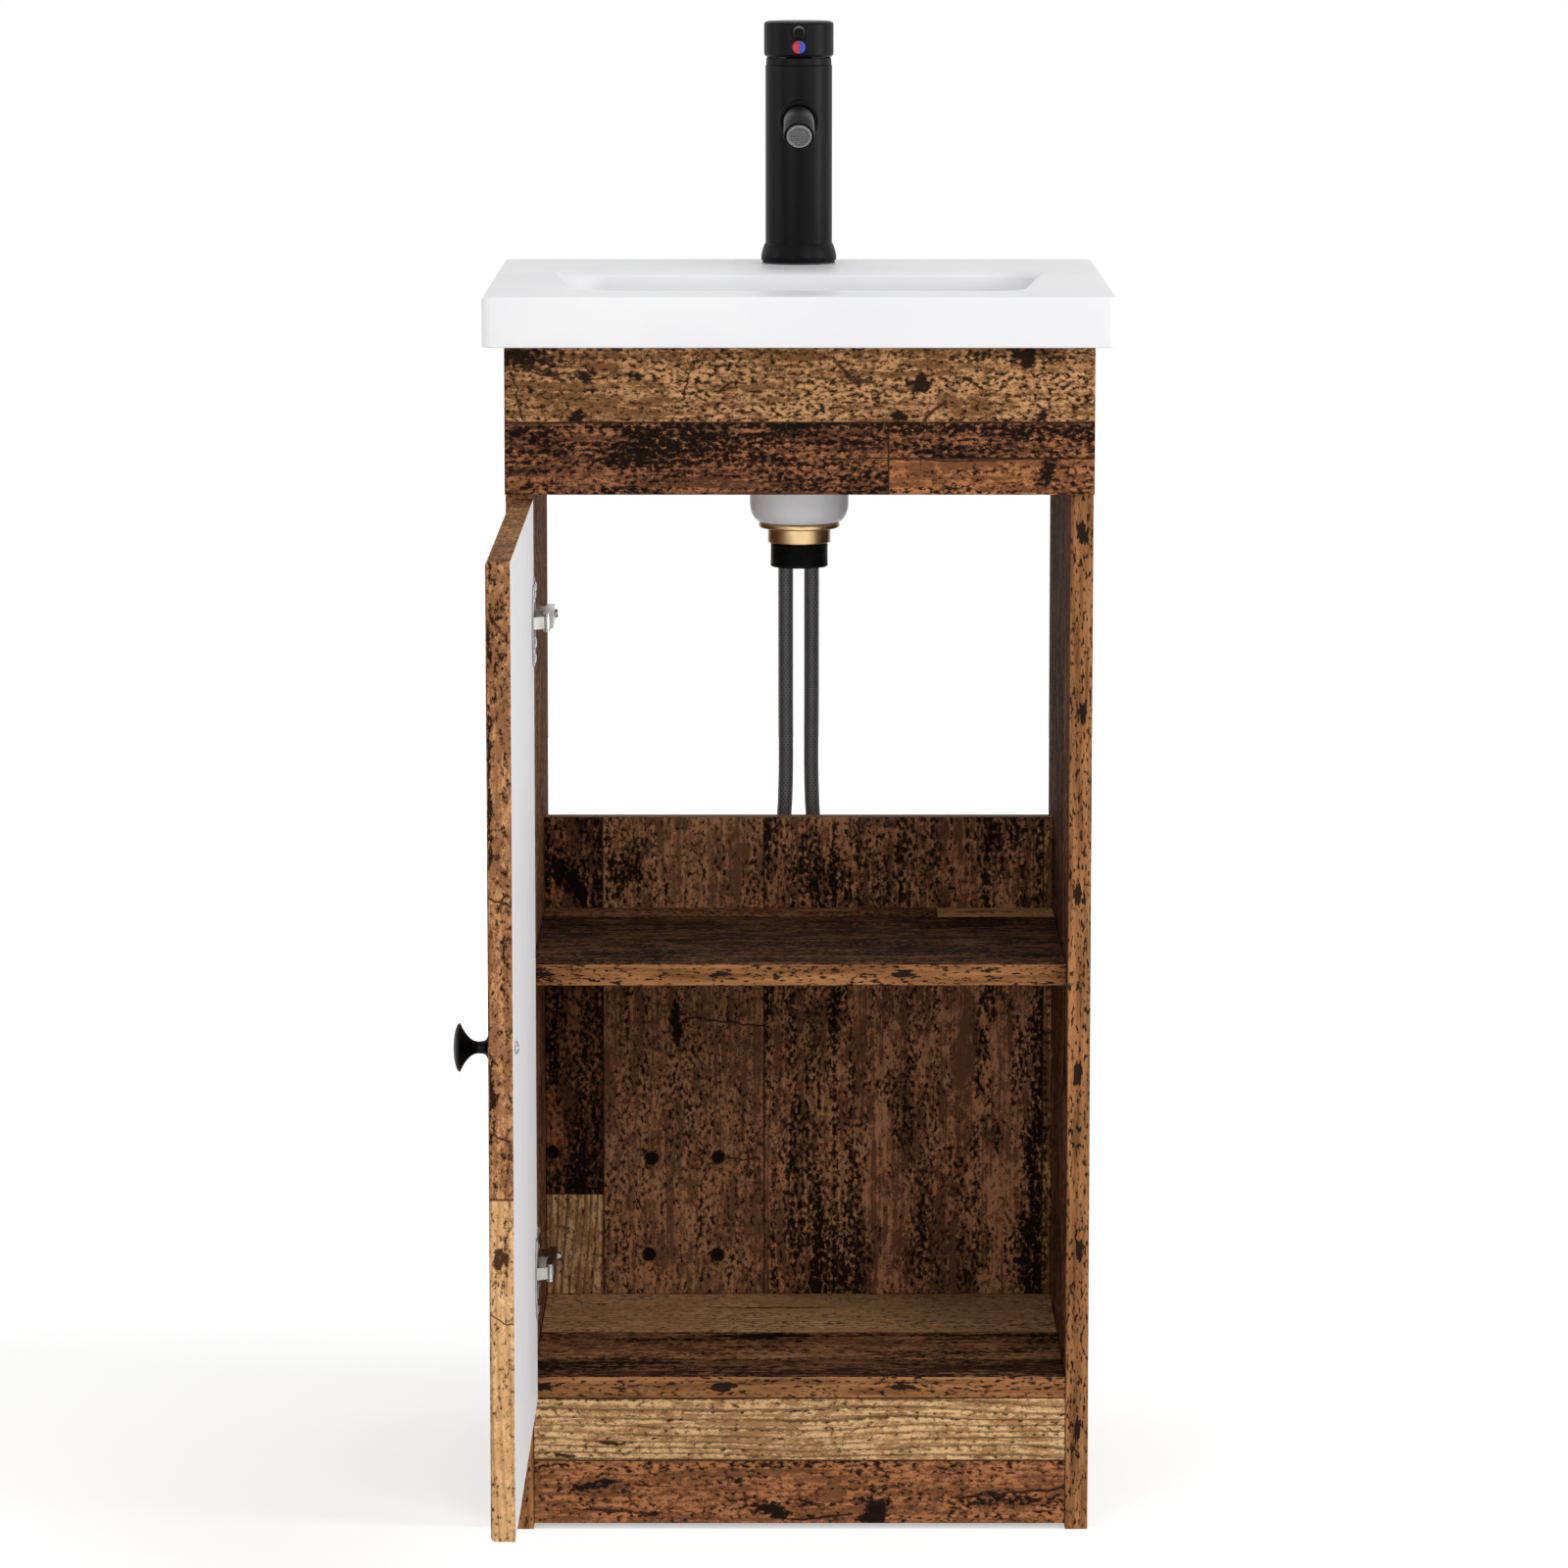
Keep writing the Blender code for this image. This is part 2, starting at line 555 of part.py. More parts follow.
# Hinge halves on the cabinet: mounting plate, channel arm, arm pin and arm screw
def build_hinge_arm(side, z, frame):
    wall = -INNER_HALF
    plate_x = wall + FIT + PLATE_THICKNESS / 2
    outline = lens_outline(PLATE_MIDDLE_RADIUS, PLATE_END_RADIUS, PLATE_EAR)
    base = plate(f"{side}_hinge_plate", [outline], PLATE_THICKNESS, NICKEL, frame,
                 (plate_x, PLATE_SETBACK, z), (QUARTER, 0, QUARTER))
    channel_out = ARM_PIN.x + LINK_EYE_RADIUS + ARM_SHEET
    channel_in = channel_out - ARM_DEPTH
    half_inside = LINK_WIDTH / 2 + FIT
    half_outside = half_inside + ARM_SHEET
    rail_half = RAIL_LENGTH / 2
    rail = box(f"{side}_hinge_rail", (plate_x, PLATE_SETBACK - rail_half, z - LINK_WIDTH / 2),
               (channel_out - ARM_SHEET - FIT, PLATE_SETBACK + rail_half, z + LINK_WIDTH / 2),
               None, frame, 0)
    screw_y = PLATE_SETBACK + ARM_SCREW_SETBACK
    shank = ARM_SCREW_RADIUS / 2
    shank_end = wall + PLATE_THICKNESS
    screw_hole = rod(f"{side}_arm_screw_hole", shank + FIT, 2 * (channel_out - shank_end + FIT), None,
                     frame, (channel_out, screw_y, z), ALONG_X)
    combine(base, "UNION", rail)
    combine(base, "DIFFERENCE", screw_hole)

    nose_end = ARM_PIN.y + ARM_NOSE
    shoulder = nose_end + ARM_STEP
    arm_end = screw_y + ARM_END
    nose = arc(ARM_PIN, LINK_EYE_RADIUS, 180, 360, 10)
    outline = nose + [(ARM_PIN.x + LINK_EYE_RADIUS, nose_end), (channel_out, shoulder),
                      (channel_out, arm_end), (channel_in, arm_end), (channel_in, shoulder),
                      (ARM_PIN.x - LINK_EYE_RADIUS, nose_end)]
    arm = plate(f"{side}_hinge_arm", [outline], 2 * half_outside, NICKEL, frame, (0, 0, z))
    hollow = box(f"{side}_hinge_arm_hollow", (channel_in - ARM_DEPTH, shoulder + ARM_SHEET, z - half_inside),
                 (channel_out - ARM_SHEET, arm_end + ARM_DEPTH, z + half_inside), None, frame, 0)
    mouth_low = (channel_in - ARM_DEPTH, ARM_PIN.y - 2 * LINK_EYE_RADIUS, z - half_inside)
    mouth = box(f"{side}_hinge_arm_mouth", mouth_low,
                (channel_out + ARM_DEPTH, ARM_PIN.y + ARM_MOUTH, z + half_inside), None, frame, 0)
    pin_hole = rod(f"{side}_arm_pin_hole", HINGE_PIN_RADIUS + PIN_PLAY, 4 * half_outside, None, frame,
                   (*ARM_PIN, z))
    combine(arm, "DIFFERENCE", hollow, mouth, pin_hole, screw_hole)
    rod(f"{side}_arm_pin", HINGE_PIN_RADIUS, 2 * half_outside, NICKEL, frame, (*ARM_PIN, z))
    head = channel_out + FIT
    crown = head + ARM_SCREW_HEAD
    screw = [(0, crown), (ARM_SCREW_RADIUS - CHAMFER, crown), (ARM_SCREW_RADIUS, crown - CHAMFER),
             (ARM_SCREW_RADIUS, head), (shank, head), (shank, shank_end), (0, shank_end)]
    turned(f"{side}_arm_screw", screw, NICKEL, frame, (0, screw_y, z), ALONG_X, SMALL_ROUND)


# Links that join the arms to the cups, laid out as with the door closed
def build_link(side, z, link_axis):
    span = (CUP_PIN - ARM_PIN).length
    heading = math.atan2(*(CUP_PIN - ARM_PIN).yx)
    open_angle = math.degrees(math.asin(LINK_THICKNESS / 2 / LINK_EYE_RADIUS))
    outline = (arc((0, 0), LINK_EYE_RADIUS, open_angle, 360 - open_angle, 14)
               + arc((span, 0), LINK_EYE_RADIUS, 180 + open_angle, 540 - open_angle, 14))
    eyes = [ring_points((x, 0), HINGE_PIN_RADIUS + PIN_PLAY, SMALL_ROUND) for x in (0, span)]
    plate(f"{side}_hinge_link", [outline, *eyes], LINK_WIDTH, NICKEL, link_axis, (0, 0, z), (0, 0, heading))


# Hinge halves on the door: cup with its flange, and cup pin
def build_cup(side, z, door_axis, door_point, panel):
    face = -DOOR_STANDOFF
    cup_x = -DOOR_WIDTH / 2 + CUP_EDGE + CUP_RADIUS
    depth = DOOR_THICKNESS - CUP_FLOOR_WOOD
    bore = rod(f"{side}_cup_bore", CUP_RADIUS, 2 * depth, None, door_axis, door_point(cup_x, face, z),
               ALONG_Y, ROUND)
    combine(panel, "DIFFERENCE", bore)
    flange_top = face + FIT + FLANGE_THICKNESS
    outline = lens_outline(CUP_RADIUS + FLANGE_LIP, FLANGE_END_RADIUS, FLANGE_EAR)
    cup = plate(f"{side}_hinge_cup", [outline], FLANGE_THICKNESS, NICKEL, door_axis,
                door_point(cup_x, face + FIT + FLANGE_THICKNESS / 2, z), ALONG_Y)
    outer = CUP_RADIUS - FIT
    inner = outer - CUP_WALL
    floor = face - depth + FIT
    shell_length = flange_top - floor - FLANGE_THICKNESS / 2
    shell = rod(f"{side}_cup_shell", outer, shell_length, None, door_axis,
                door_point(cup_x, floor + shell_length / 2, z), ALONG_Y, ROUND)
    hollow_length = 2 * (flange_top - floor - CUP_WALL)
    hollow = rod(f"{side}_cup_hollow", inner, hollow_length, None, door_axis,
                 door_point(cup_x, flange_top, z), ALONG_Y, ROUND)
    combine(cup, "UNION", shell)
    combine(cup, "DIFFERENCE", hollow)
    apothem = inner * math.cos(math.pi / ROUND)
    off_centre = abs(CUP_PIN.x - cup_x) + HINGE_PIN_RADIUS
    half_pin = math.sqrt(apothem ** 2 - off_centre ** 2) - FIT
    rod(f"{side}_cup_pin", HINGE_PIN_RADIUS, 2 * half_pin, NICKEL, door_axis, door_point(*CUP_PIN, z))


def build_knob(door_axis, door_point, panel):
    """A turned mushroom knob, and the screw that holds it through the door."""
    outer_face = -DOOR_STANDOFF - DOOR_THICKNESS
    x = DOOR_WIDTH / 2 - KNOB_EDGE_INSET
    z = DOOR_BOTTOM + KNOB_FROM_BOTTOM
    bore = KNOB_SCREW_RADIUS + FIT
    bite = KNOB_SCREW_BITE + FIT
    swell = KNOB_RIM - KNOB_NECK_HEIGHT
    throat = [(KNOB_NECK_RADIUS + (KNOB_RADIUS - KNOB_NECK_RADIUS) * s ** 2.2, KNOB_NECK_HEIGHT + swell * s)
              for s in (1.0, 0.93, 0.8, 0.62, 0.4, 0.0)]
    crown = [(KNOB_RADIUS * math.sin(a), KNOB_RIM + KNOB_DOME * math.cos(a))
             for a in (math.radians(d) for d in (0, 20, 42, 63, 80))]
    waist = (KNOB_NECK_RADIUS + FINE_CHAMFER, KNOB_NECK_HEIGHT / 2)
    foot = [waist, (KNOB_BASE_RADIUS - FINE_CHAMFER, KNOB_BASE_THICKNESS),
            (KNOB_BASE_RADIUS, KNOB_BASE_THICKNESS - FINE_CHAMFER), (KNOB_BASE_RADIUS, 0)]
    profile = crown + throat + foot + [(bore, 0), (bore, bite), (0, bite)]
    turned("door_knob", profile, MATT_BLACK, door_axis, door_point(x, outer_face - FIT, z), ALONG_Y, RING_ROUND)
    hole = rod("knob_hole", bore, 3 * DOOR_THICKNESS, None, door_axis, door_point(x, outer_face, z), ALONG_Y)
    combine(panel, "DIFFERENCE", hole)
    rim = FIT + SCREW_HEAD_EDGE
    shank = DOOR_THICKNESS + FIT + KNOB_SCREW_BITE
    screw = [(SCREW_HEAD_RADIUS * math.sin(a), rim + SCREW_HEAD_DOME * math.cos(a))
             for a in (math.radians(d) for d in (0, 35, 65, 90))]
    screw += [(SCREW_HEAD_RADIUS, FIT), (KNOB_SCREW_RADIUS, FIT), (KNOB_SCREW_RADIUS, -shank), (0, -shank)]
    inner_face = -DOOR_STANDOFF
    turned("knob_screw", screw, NICKEL, door_axis, door_point(x, inner_face, z), (-QUARTER, 0, 0), SMALL_ROUND)


def build_door(frame):
    """The door and its hinges, laid out closed; the empties then carry them to the open pose."""
    link_axis = empty("hinge_link_axis", frame, (*ARM_PIN, 0), LINK_SWING)
    open_turn = -math.radians(DOOR_OPEN_ANGLE)
    door_axis = empty("door_axis", link_axis, (*(CUP_PIN - ARM_PIN), 0), open_turn - LINK_SWING)

    def door_point(x, y, z):
        return (x - CUP_PIN.x, y - CUP_PIN.y, z)

    low = door_point(-DOOR_WIDTH / 2, -DOOR_STANDOFF - DOOR_THICKNESS, DOOR_BOTTOM)
    high = door_point(DOOR_WIDTH / 2, -DOOR_STANDOFF, DOOR_TOP)
    panel = rounded_front_board("door_panel", low, high, DOOR_ROUNDING, OLD_WOOD, door_axis)
    panel.data.materials.append(GREY_MELAMINE)
    for face in panel.data.polygons:
        if face.normal.y > 0.9:
            face.material_index = 1
    for side, z in HINGE_HEIGHTS.items():
        build_hinge_arm(side, z, frame)
        build_link(side, z, link_axis)
        build_cup(side, z, door_axis, door_point, panel)
    build_knob(door_axis, door_point, panel)
    return link_axis, door_axis


# Basin: one closed shell of rings, from the drain up the bowl, over the rim and back down outside
CORNER_STEPS = 6
SIDE_STEPS = 3
CHUNK = CORNER_STEPS + 1 + SIDE_STEPS


def blend(first, second, share):
    return tuple(a + (b - a) * share for a, b in zip(first, second))


def rounded_quad(front, rear, half_front, half_rear, radius):
    """Points round a rectangle that tapers to the front, with filleted corners."""
    corners = [Vector(c) for c in ((half_front, front), (half_rear, rear),
                                   (-half_rear, rear), (-half_front, front))]
    arcs = []
    for i, corner in enumerate(corners):
        before = (corners[i - 1] - corner).normalized()
        after = (corners[(i + 1) % 4] - corner).normalized()
        half = before.angle(after) / 2
        centre = corner + (before + after).normalized() * (radius / math.sin(half))
        start = corner + before * (radius / math.tan(half)) - centre
        stop = corner + after * (radius / math.tan(half)) - centre
        first, sweep = math.degrees(math.atan2(start.y, start.x)), math.degrees(stop.angle_signed(start))
        arcs.append([Vector(p) for p in arc(centre, radius, first, first + sweep, CORNER_STEPS)])
    points = []
    for i, bend in enumerate(arcs):
        leave, arrive = bend[-1], arcs[(i + 1) % 4][0]
        points += bend + [leave.lerp(arrive, k / (SIDE_STEPS + 1)) for k in range(1, SIDE_STEPS + 1)]
    return points


def circle(radius):
    """Points round the drain, in step with those of a rounded quad."""
    step = 90 / CHUNK
    first = -45 - step * CORNER_STEPS / 2
    turn = arc((0, DRAIN_Y), radius, first, first + 360 - step, 4 * CHUNK - 1)
    return [Vector(p) for p in turn]


def basin_rings():
    """(height, points) of each ring, in order round the shell's section."""
    def grown(quad, side, rear):
        return (quad[0] - side, quad[1] + rear, quad[2] + side, quad[3] + side, quad[4])

    outer_half = INNER_HALF - BOWL_SIDE_GAP
    wall_half = outer_half - BOWL_SHELL
    wall = (BOWL_WALL_FRONT, BOWL_WALL_REAR, wall_half - BOWL_TAPER, wall_half, BOWL_CORNER)
    outside = (BOWL_FRONT_GAP, BOWL_WALL_REAR + BOWL_SHELL, outer_half - BOWL_TAPER, outer_half,
               BOWL_CORNER + BOWL_SHELL)
    floor_front = (BOWL_WALL_FRONT + BOWL_WALL_REAR - FLOOR_LENGTH) / 2
    floor_corner = min(FLOOR_CORNER, 0.45 * FLOOR_LENGTH)
    floor = (floor_front, floor_front + FLOOR_LENGTH, FLOOR_HALF_WIDTH - BOWL_TAPER, FLOOR_HALF_WIDTH,
             floor_corner)
    slab = (BASIN_FRONT, BASIN_REAR, BASIN_HALF, BASIN_HALF, BASIN_CORNER)

    def skirt(inset, height):
        quad = (slab[0] + inset, slab[1] - inset, slab[2] - inset, slab[3] - inset, slab[4])
        return height, rounded_quad(*quad)

    def half_way(quad, radius, height):
        return height, [a.lerp(b, 0.5) for a, b in zip(rounded_quad(*quad), circle(radius))]

    recess = DRAIN_TOP - DRAIN_RECESS_DEPTH
    edge = BASIN_TOP - BOWL_EDGE_DROP
    rings = [(BOSS_BOTTOM, circle(DRAIN_RADIUS)), (recess, circle(DRAIN_RADIUS)),
             (recess, circle(DRAIN_RECESS_RADIUS)), (DRAIN_TOP, circle(DRAIN_RECESS_RADIUS + FIT)),
             half_way(floor, DRAIN_RECESS_RADIUS, DRAIN_TOP + 0.3 * FLOOR_FALL)]
    for degrees in (90, 70, 50, 32, 15, 0):
        turn = math.radians(degrees)
        height = edge - (edge - BOWL_FLOOR) * math.sin(turn)
        rings.append((height, rounded_quad(*blend(wall, floor, 1 - math.cos(turn)))))
    for side, rear, drop in ((0.25, 0.20, 0.50), (0.55, 0.50, 0.18), (1.0, 1.0, 0.0)):
        flared = grown(wall, side * BOWL_EDGE_FLARE, rear * BOWL_REAR_FLARE)
        rings.append((BASIN_TOP - drop * BOWL_EDGE_DROP, rounded_quad(*flared)))
    for degrees in (0, 45, 90):
        turn = math.radians(degrees)
        rings.append(skirt(BASIN_ROUNDING * (1 - math.sin(turn)),
                           BASIN_TOP - BASIN_ROUNDING * (1 - math.cos(turn))))
    rings += [skirt(0, BASIN_BOTTOM + BASIN_ROUNDING / 2), skirt(BASIN_ROUNDING / 2, BASIN_BOTTOM)]
    under = BOSS_TOP + DRAIN_RECESS_DEPTH
    under_floor = grown(floor, BOWL_SHELL / 2, BOWL_SHELL / 2)
    for degrees in (0, 18, 38, 58, 76, 90):
        turn = math.radians(degrees)
        height = BASIN_BOTTOM - (BASIN_BOTTOM - under) * math.sin(turn)
        rings.append((height, rounded_quad(*blend(outside, under_floor, 1 - math.cos(turn)))))
    root = BOSS_RADIUS + BOSS_FILLET
    rings += [half_way(under_floor, root, BOSS_TOP + 0.3 * DRAIN_RECESS_DEPTH), (BOSS_TOP, circle(root)),
              (BOSS_TOP - BOSS_FILLET, circle(BOSS_RADIUS))]
    for degrees in (0, 30, 60, 90):
        turn = math.radians(degrees)
        radius = BOSS_FOOT_RADIUS + BOSS_FLARE * math.cos(turn)
        rings.append((BOSS_BOTTOM + BOSS_CURL * (1 - math.sin(turn)), circle(radius)))
    return rings


def build_basin(frame):
    rings = basin_rings()
    bm = bmesh.new()
    loops = [[bm.verts.new((p.x, p.y, height)) for p in points] for height, points in rings]
    for i, lower in enumerate(loops):
        upper = loops[(i + 1) % len(loops)]
        for k in range(len(lower)):
            ahead = (k + 1) % len(lower)
            bm.faces.new((lower[k], lower[ahead], upper[ahead], upper[k]))
    bmesh.ops.recalc_face_normals(bm, faces=bm.faces)
    basin = add("basin", mesh_from("basin", bm), CERAMIC_WHITE, frame, (0, 0, 0))
    tap_hole = rod("tap_hole", FOOT_BORE_RADIUS + TAP_HOLE_CLEARANCE, 4 * BASIN_RIM_HEIGHT, None, frame,
                   (0, TAP_Y, BASIN_BOTTOM), sides=ROUND)
    half = DECK_POCKET_WIDTH / 2
    pocket = box("deck_pocket", (-half, TAP_Y - DECK_POCKET_FRONT, BASIN_BOTTOM - BASIN_RIM_HEIGHT),
                 (half, BASIN_REAR - CERAMIC, BASIN_TOP - DECK_THICKNESS), None, frame, 0)
    combine(basin, "DIFFERENCE", pocket, tap_hole)


# Waste: flanged body through the drain, clamped under the boss, with a push plug
def build_waste(frame):
    axis = (0, DRAIN_Y, 0)
    seal_bottom = DRAIN_TOP - DRAIN_RECESS_DEPTH + FIT
    seal_top = seal_bottom + WASTE_SEAL_THICKNESS
    flange_bottom = seal_top + FIT
    flange_top = flange_bottom + WASTE_FLANGE_THICKNESS
    tail_end = BOSS_BOTTOM - TAIL_REACH
    bore = TAIL_RADIUS - TAIL_WALL

    def ring(name, outer, inner, bottom, top, material, edge=0.0):
        profile = ring_profile(outer, inner, bottom, top, edge)
        turned(name, profile, material, frame, axis, sides=RING_ROUND, ring=True)

    seal_outer = WASTE_FLANGE_RADIUS - FIT
    ring("waste_seal", seal_outer, seal_outer - WASTE_SEAL_WIDTH, seal_bottom, seal_top, RUBBER)
    body = [(bore, flange_top - TAIL_MOUTH_DEPTH), (bore + TAIL_MOUTH, flange_top),
            (WASTE_FLANGE_RADIUS - WASTE_FLANGE_EDGE, flange_top),
            (WASTE_FLANGE_RADIUS, flange_top - WASTE_FLANGE_EDGE), (WASTE_FLANGE_RADIUS, flange_bottom),
            (TAIL_RADIUS, flange_bottom), (TAIL_RADIUS, tail_end + CHAMFER),
            (TAIL_RADIUS - CHAMFER, tail_end), (bore, tail_end)]
    turned("waste_body", body, BLACK_PLASTIC, frame, axis, sides=RING_ROUND, ring=True)
    washer_top = BOSS_BOTTOM - FIT
    washer_bottom = washer_top - WASHER_THICKNESS
    clear = TAIL_RADIUS + FIT
    ring("waste_washer", BOSS_FOOT_RADIUS + WASHER_LIP, clear, washer_bottom, washer_top, BRASS, WASHER_EDGE)
    nut_top = washer_bottom - FIT
    ring("waste_nut", clear + NUT_WALL, clear, nut_top - NUT_HEIGHT, nut_top, BRASS, FINE_CHAMFER)

    guide_z = flange_top - GUIDE_DROP
    stem_bore = PLUG_STEM_RADIUS + PIN_PLAY
    guide = rod("plug_guide", stem_bore + GUIDE_WALL, GUIDE_HEIGHT, BLACK_PLASTIC, frame,
                (0, DRAIN_Y, guide_z))
    half = GUIDE_SPOKE / 2
    reach = math.sqrt((bore * math.cos(math.pi / RING_ROUND)) ** 2 - half ** 2) - FIT
    for name, x, y in (("plug_spoke_x", reach, half), ("plug_spoke_y", half, reach)):
        spoke = box(name, (-x, DRAIN_Y - y, guide_z - half), (x, DRAIN_Y + y, guide_z + half), None, frame, 0)
        combine(guide, "UNION", spoke)
    stem_hole = rod("plug_stem_hole", stem_bore, 3 * GUIDE_HEIGHT, None, frame, (0, DRAIN_Y, guide_z))
    combine(guide, "DIFFERENCE", stem_hole)

    plug_axis = empty("plug_axis", frame, (0, DRAIN_Y, flange_top + FIT))
    radius = WASTE_FLANGE_RADIUS - PLUG_INSET
    edge = PLUG_THICKNESS - PLUG_DOME
    plug = [(0, PLUG_THICKNESS), (0.5 * radius, edge + 0.8 * PLUG_DOME),
            (0.9 * radius, edge + 0.25 * PLUG_DOME), (radius, 0.7 * edge), (radius, CHAMFER), (radius - CHAMFER, 0),
            (PLUG_STEM_RADIUS, 0), (PLUG_STEM_RADIUS, -PLUG_STEM_LENGTH), (0, -PLUG_STEM_LENGTH)]
    turned("waste_plug", plug, MATT_BLACK, plug_axis, (0, 0, 0), sides=RING_ROUND)
    return plug_axis


# Mixer tap
def build_tap_body(frame):
    """Gasket, body, cartridge and bonnet; returns the height of the well that the rotor turns in."""
    axis = (0, TAP_Y, 0)
    gasket_bottom = BASIN_TOP + FIT
    gasket_outer = TAP_BASE_RADIUS - TAP_BASE_EDGE
    gasket = ring_profile(gasket_outer, gasket_outer - TAP_GASKET_WIDTH, gasket_bottom,
                          gasket_bottom + TAP_GASKET_THICKNESS)
    turned("tap_gasket", gasket, RUBBER, frame, axis, sides=RING_ROUND, ring=True)
    seat = CARTRIDGE_RADIUS + FIT
    seat_floor = TAP_TOP - CARTRIDGE_HEIGHT - BONNET_HEIGHT
    flare_height = TAP_BASE_HEIGHT - TAP_BASE_BAND
    shoulder = [(TAP_BODY_RADIUS + TAP_BASE_FLARE * t ** TAP_BASE_SWELL,
                 TAP_FOOT + TAP_BASE_HEIGHT - flare_height * t) for t in (0, 0.1, 0.3, 0.6, 1)]
    body = ([(0, seat_floor), (seat, seat_floor), (seat, TAP_TOP), (TAP_BODY_RADIUS - FINE_CHAMFER, TAP_TOP),
             (TAP_BODY_RADIUS, TAP_TOP - FINE_CHAMFER)] + shoulder
            + [(TAP_BASE_RADIUS, TAP_FOOT + TAP_BASE_EDGE), (TAP_BASE_RADIUS - TAP_BASE_EDGE, TAP_FOOT),
               (FOOT_BORE_RADIUS, TAP_FOOT), (FOOT_BORE_RADIUS, FOOT_BORE_TOP), (0, FOOT_BORE_TOP)])
    turned("tap_body", body, MATT_BLACK, frame, axis)

    foot = seat_floor + FIT
    ledge = foot + CARTRIDGE_HEIGHT
    neck_top = BONNET_TOP - NECK_RECESS
    well = ROTOR_RADIUS + PIN_PLAY
    neck = well + NECK_WALL
    rotor_foot = BONNET_TOP - ROTOR_DEPTH
    cartridge = [(0, rotor_foot - FIT), (well, rotor_foot - FIT), (well, neck_top), (neck, neck_top),
                 (neck, ledge), (CARTRIDGE_RADIUS, ledge), (CARTRIDGE_RADIUS, foot), (0, foot)]
    turned("tap_cartridge", cartridge, GREY_INSERT, frame, axis, sides=RING_ROUND)
    inner = neck + FIT
    outer = TAP_BODY_RADIUS - BONNET_INSET
    rim = TAP_TOP + FIT
    bonnet = [(inner, BONNET_TOP), (outer - BONNET_TAPER, BONNET_TOP), (outer, rim + BONNET_BAND), (outer, rim),
              (CARTRIDGE_RADIUS, rim), (CARTRIDGE_RADIUS, ledge + FIT), (inner, ledge + FIT)]
    turned("tap_bonnet", bonnet, MATT_BLACK, frame, axis, ring=True)
    return rotor_foot


def spout_path(bend):
    """The spout's middle line from inside the body: level, then bent down on an arc, then a straight tip."""
    z = TAP_TOP - SPOUT_DROP
    run = SPOUT_REACH - SPOUT_TIP * math.cos(bend) - SPOUT_BEND * math.sin(bend)
    points = [(0, TAP_Y - TAP_BODY_RADIUS / 2, z), (0, TAP_Y - run, z)]
    steps = 6
    for i in range(1, steps + 1):
        turn = bend * i / steps
        points.append((0, TAP_Y - run - SPOUT_BEND * math.sin(turn), z - SPOUT_BEND * (1 - math.cos(turn))))
    _, y, low = points[-1]
    points.append((0, y - SPOUT_TIP * math.cos(bend), low - SPOUT_TIP * math.sin(bend)))
    return points


def build_spout(frame):
    bend = math.radians(SPOUT_TIP_ANGLE)
    points = spout_path(bend)
    shape = solid_of("tap_spout", tube("tap_spout", points, SPOUT_RADIUS, 6))
    spout = add("tap_spout", shape, MATT_BLACK, frame, (0, 0, 0))
    root = points[0]
    collar_radius = SPOUT_RADIUS + SPOUT_COLLAR_LIP
    collar_length = TAP_BODY_RADIUS / 2 + SPOUT_COLLAR
    collar = rod("spout_collar", collar_radius, collar_length, None, frame,
                 (0, root[1] - collar_length / 2, root[2]), ALONG_Y, ROUND)
    around = rod("spout_body_clearance", TAP_BODY_RADIUS + FIT, 6 * collar_radius, None, frame,
                 (0, TAP_Y, root[2]), sides=2 * ROUND)
    tip = Vector(points[-1])
    tilt = (QUARTER + bend, 0, 0)
    radius = SPOUT_RADIUS - SPOUT_WALL - FIT
    mouth = rod("aerator_seat", radius + FIT, 2 * (AERATOR_DEPTH + FIT), None, frame, tip, tilt, ROUND)
    combine(spout, "UNION", collar)
    combine(spout, "DIFFERENCE", around, mouth)
    dish = AERATOR_PROUD - AERATOR_DISH
    profile = [(0, dish), (radius - AERATOR_RIM - FINE_CHAMFER, dish), (radius - AERATOR_RIM, AERATOR_PROUD),
               (radius - FINE_CHAMFER, AERATOR_PROUD), (radius, AERATOR_PROUD - FINE_CHAMFER),
               (radius, -AERATOR_DEPTH), (0, -AERATOR_DEPTH)]
    turned("tap_aerator", profile, GREY_INSERT, frame, tip, tilt, ROUND)


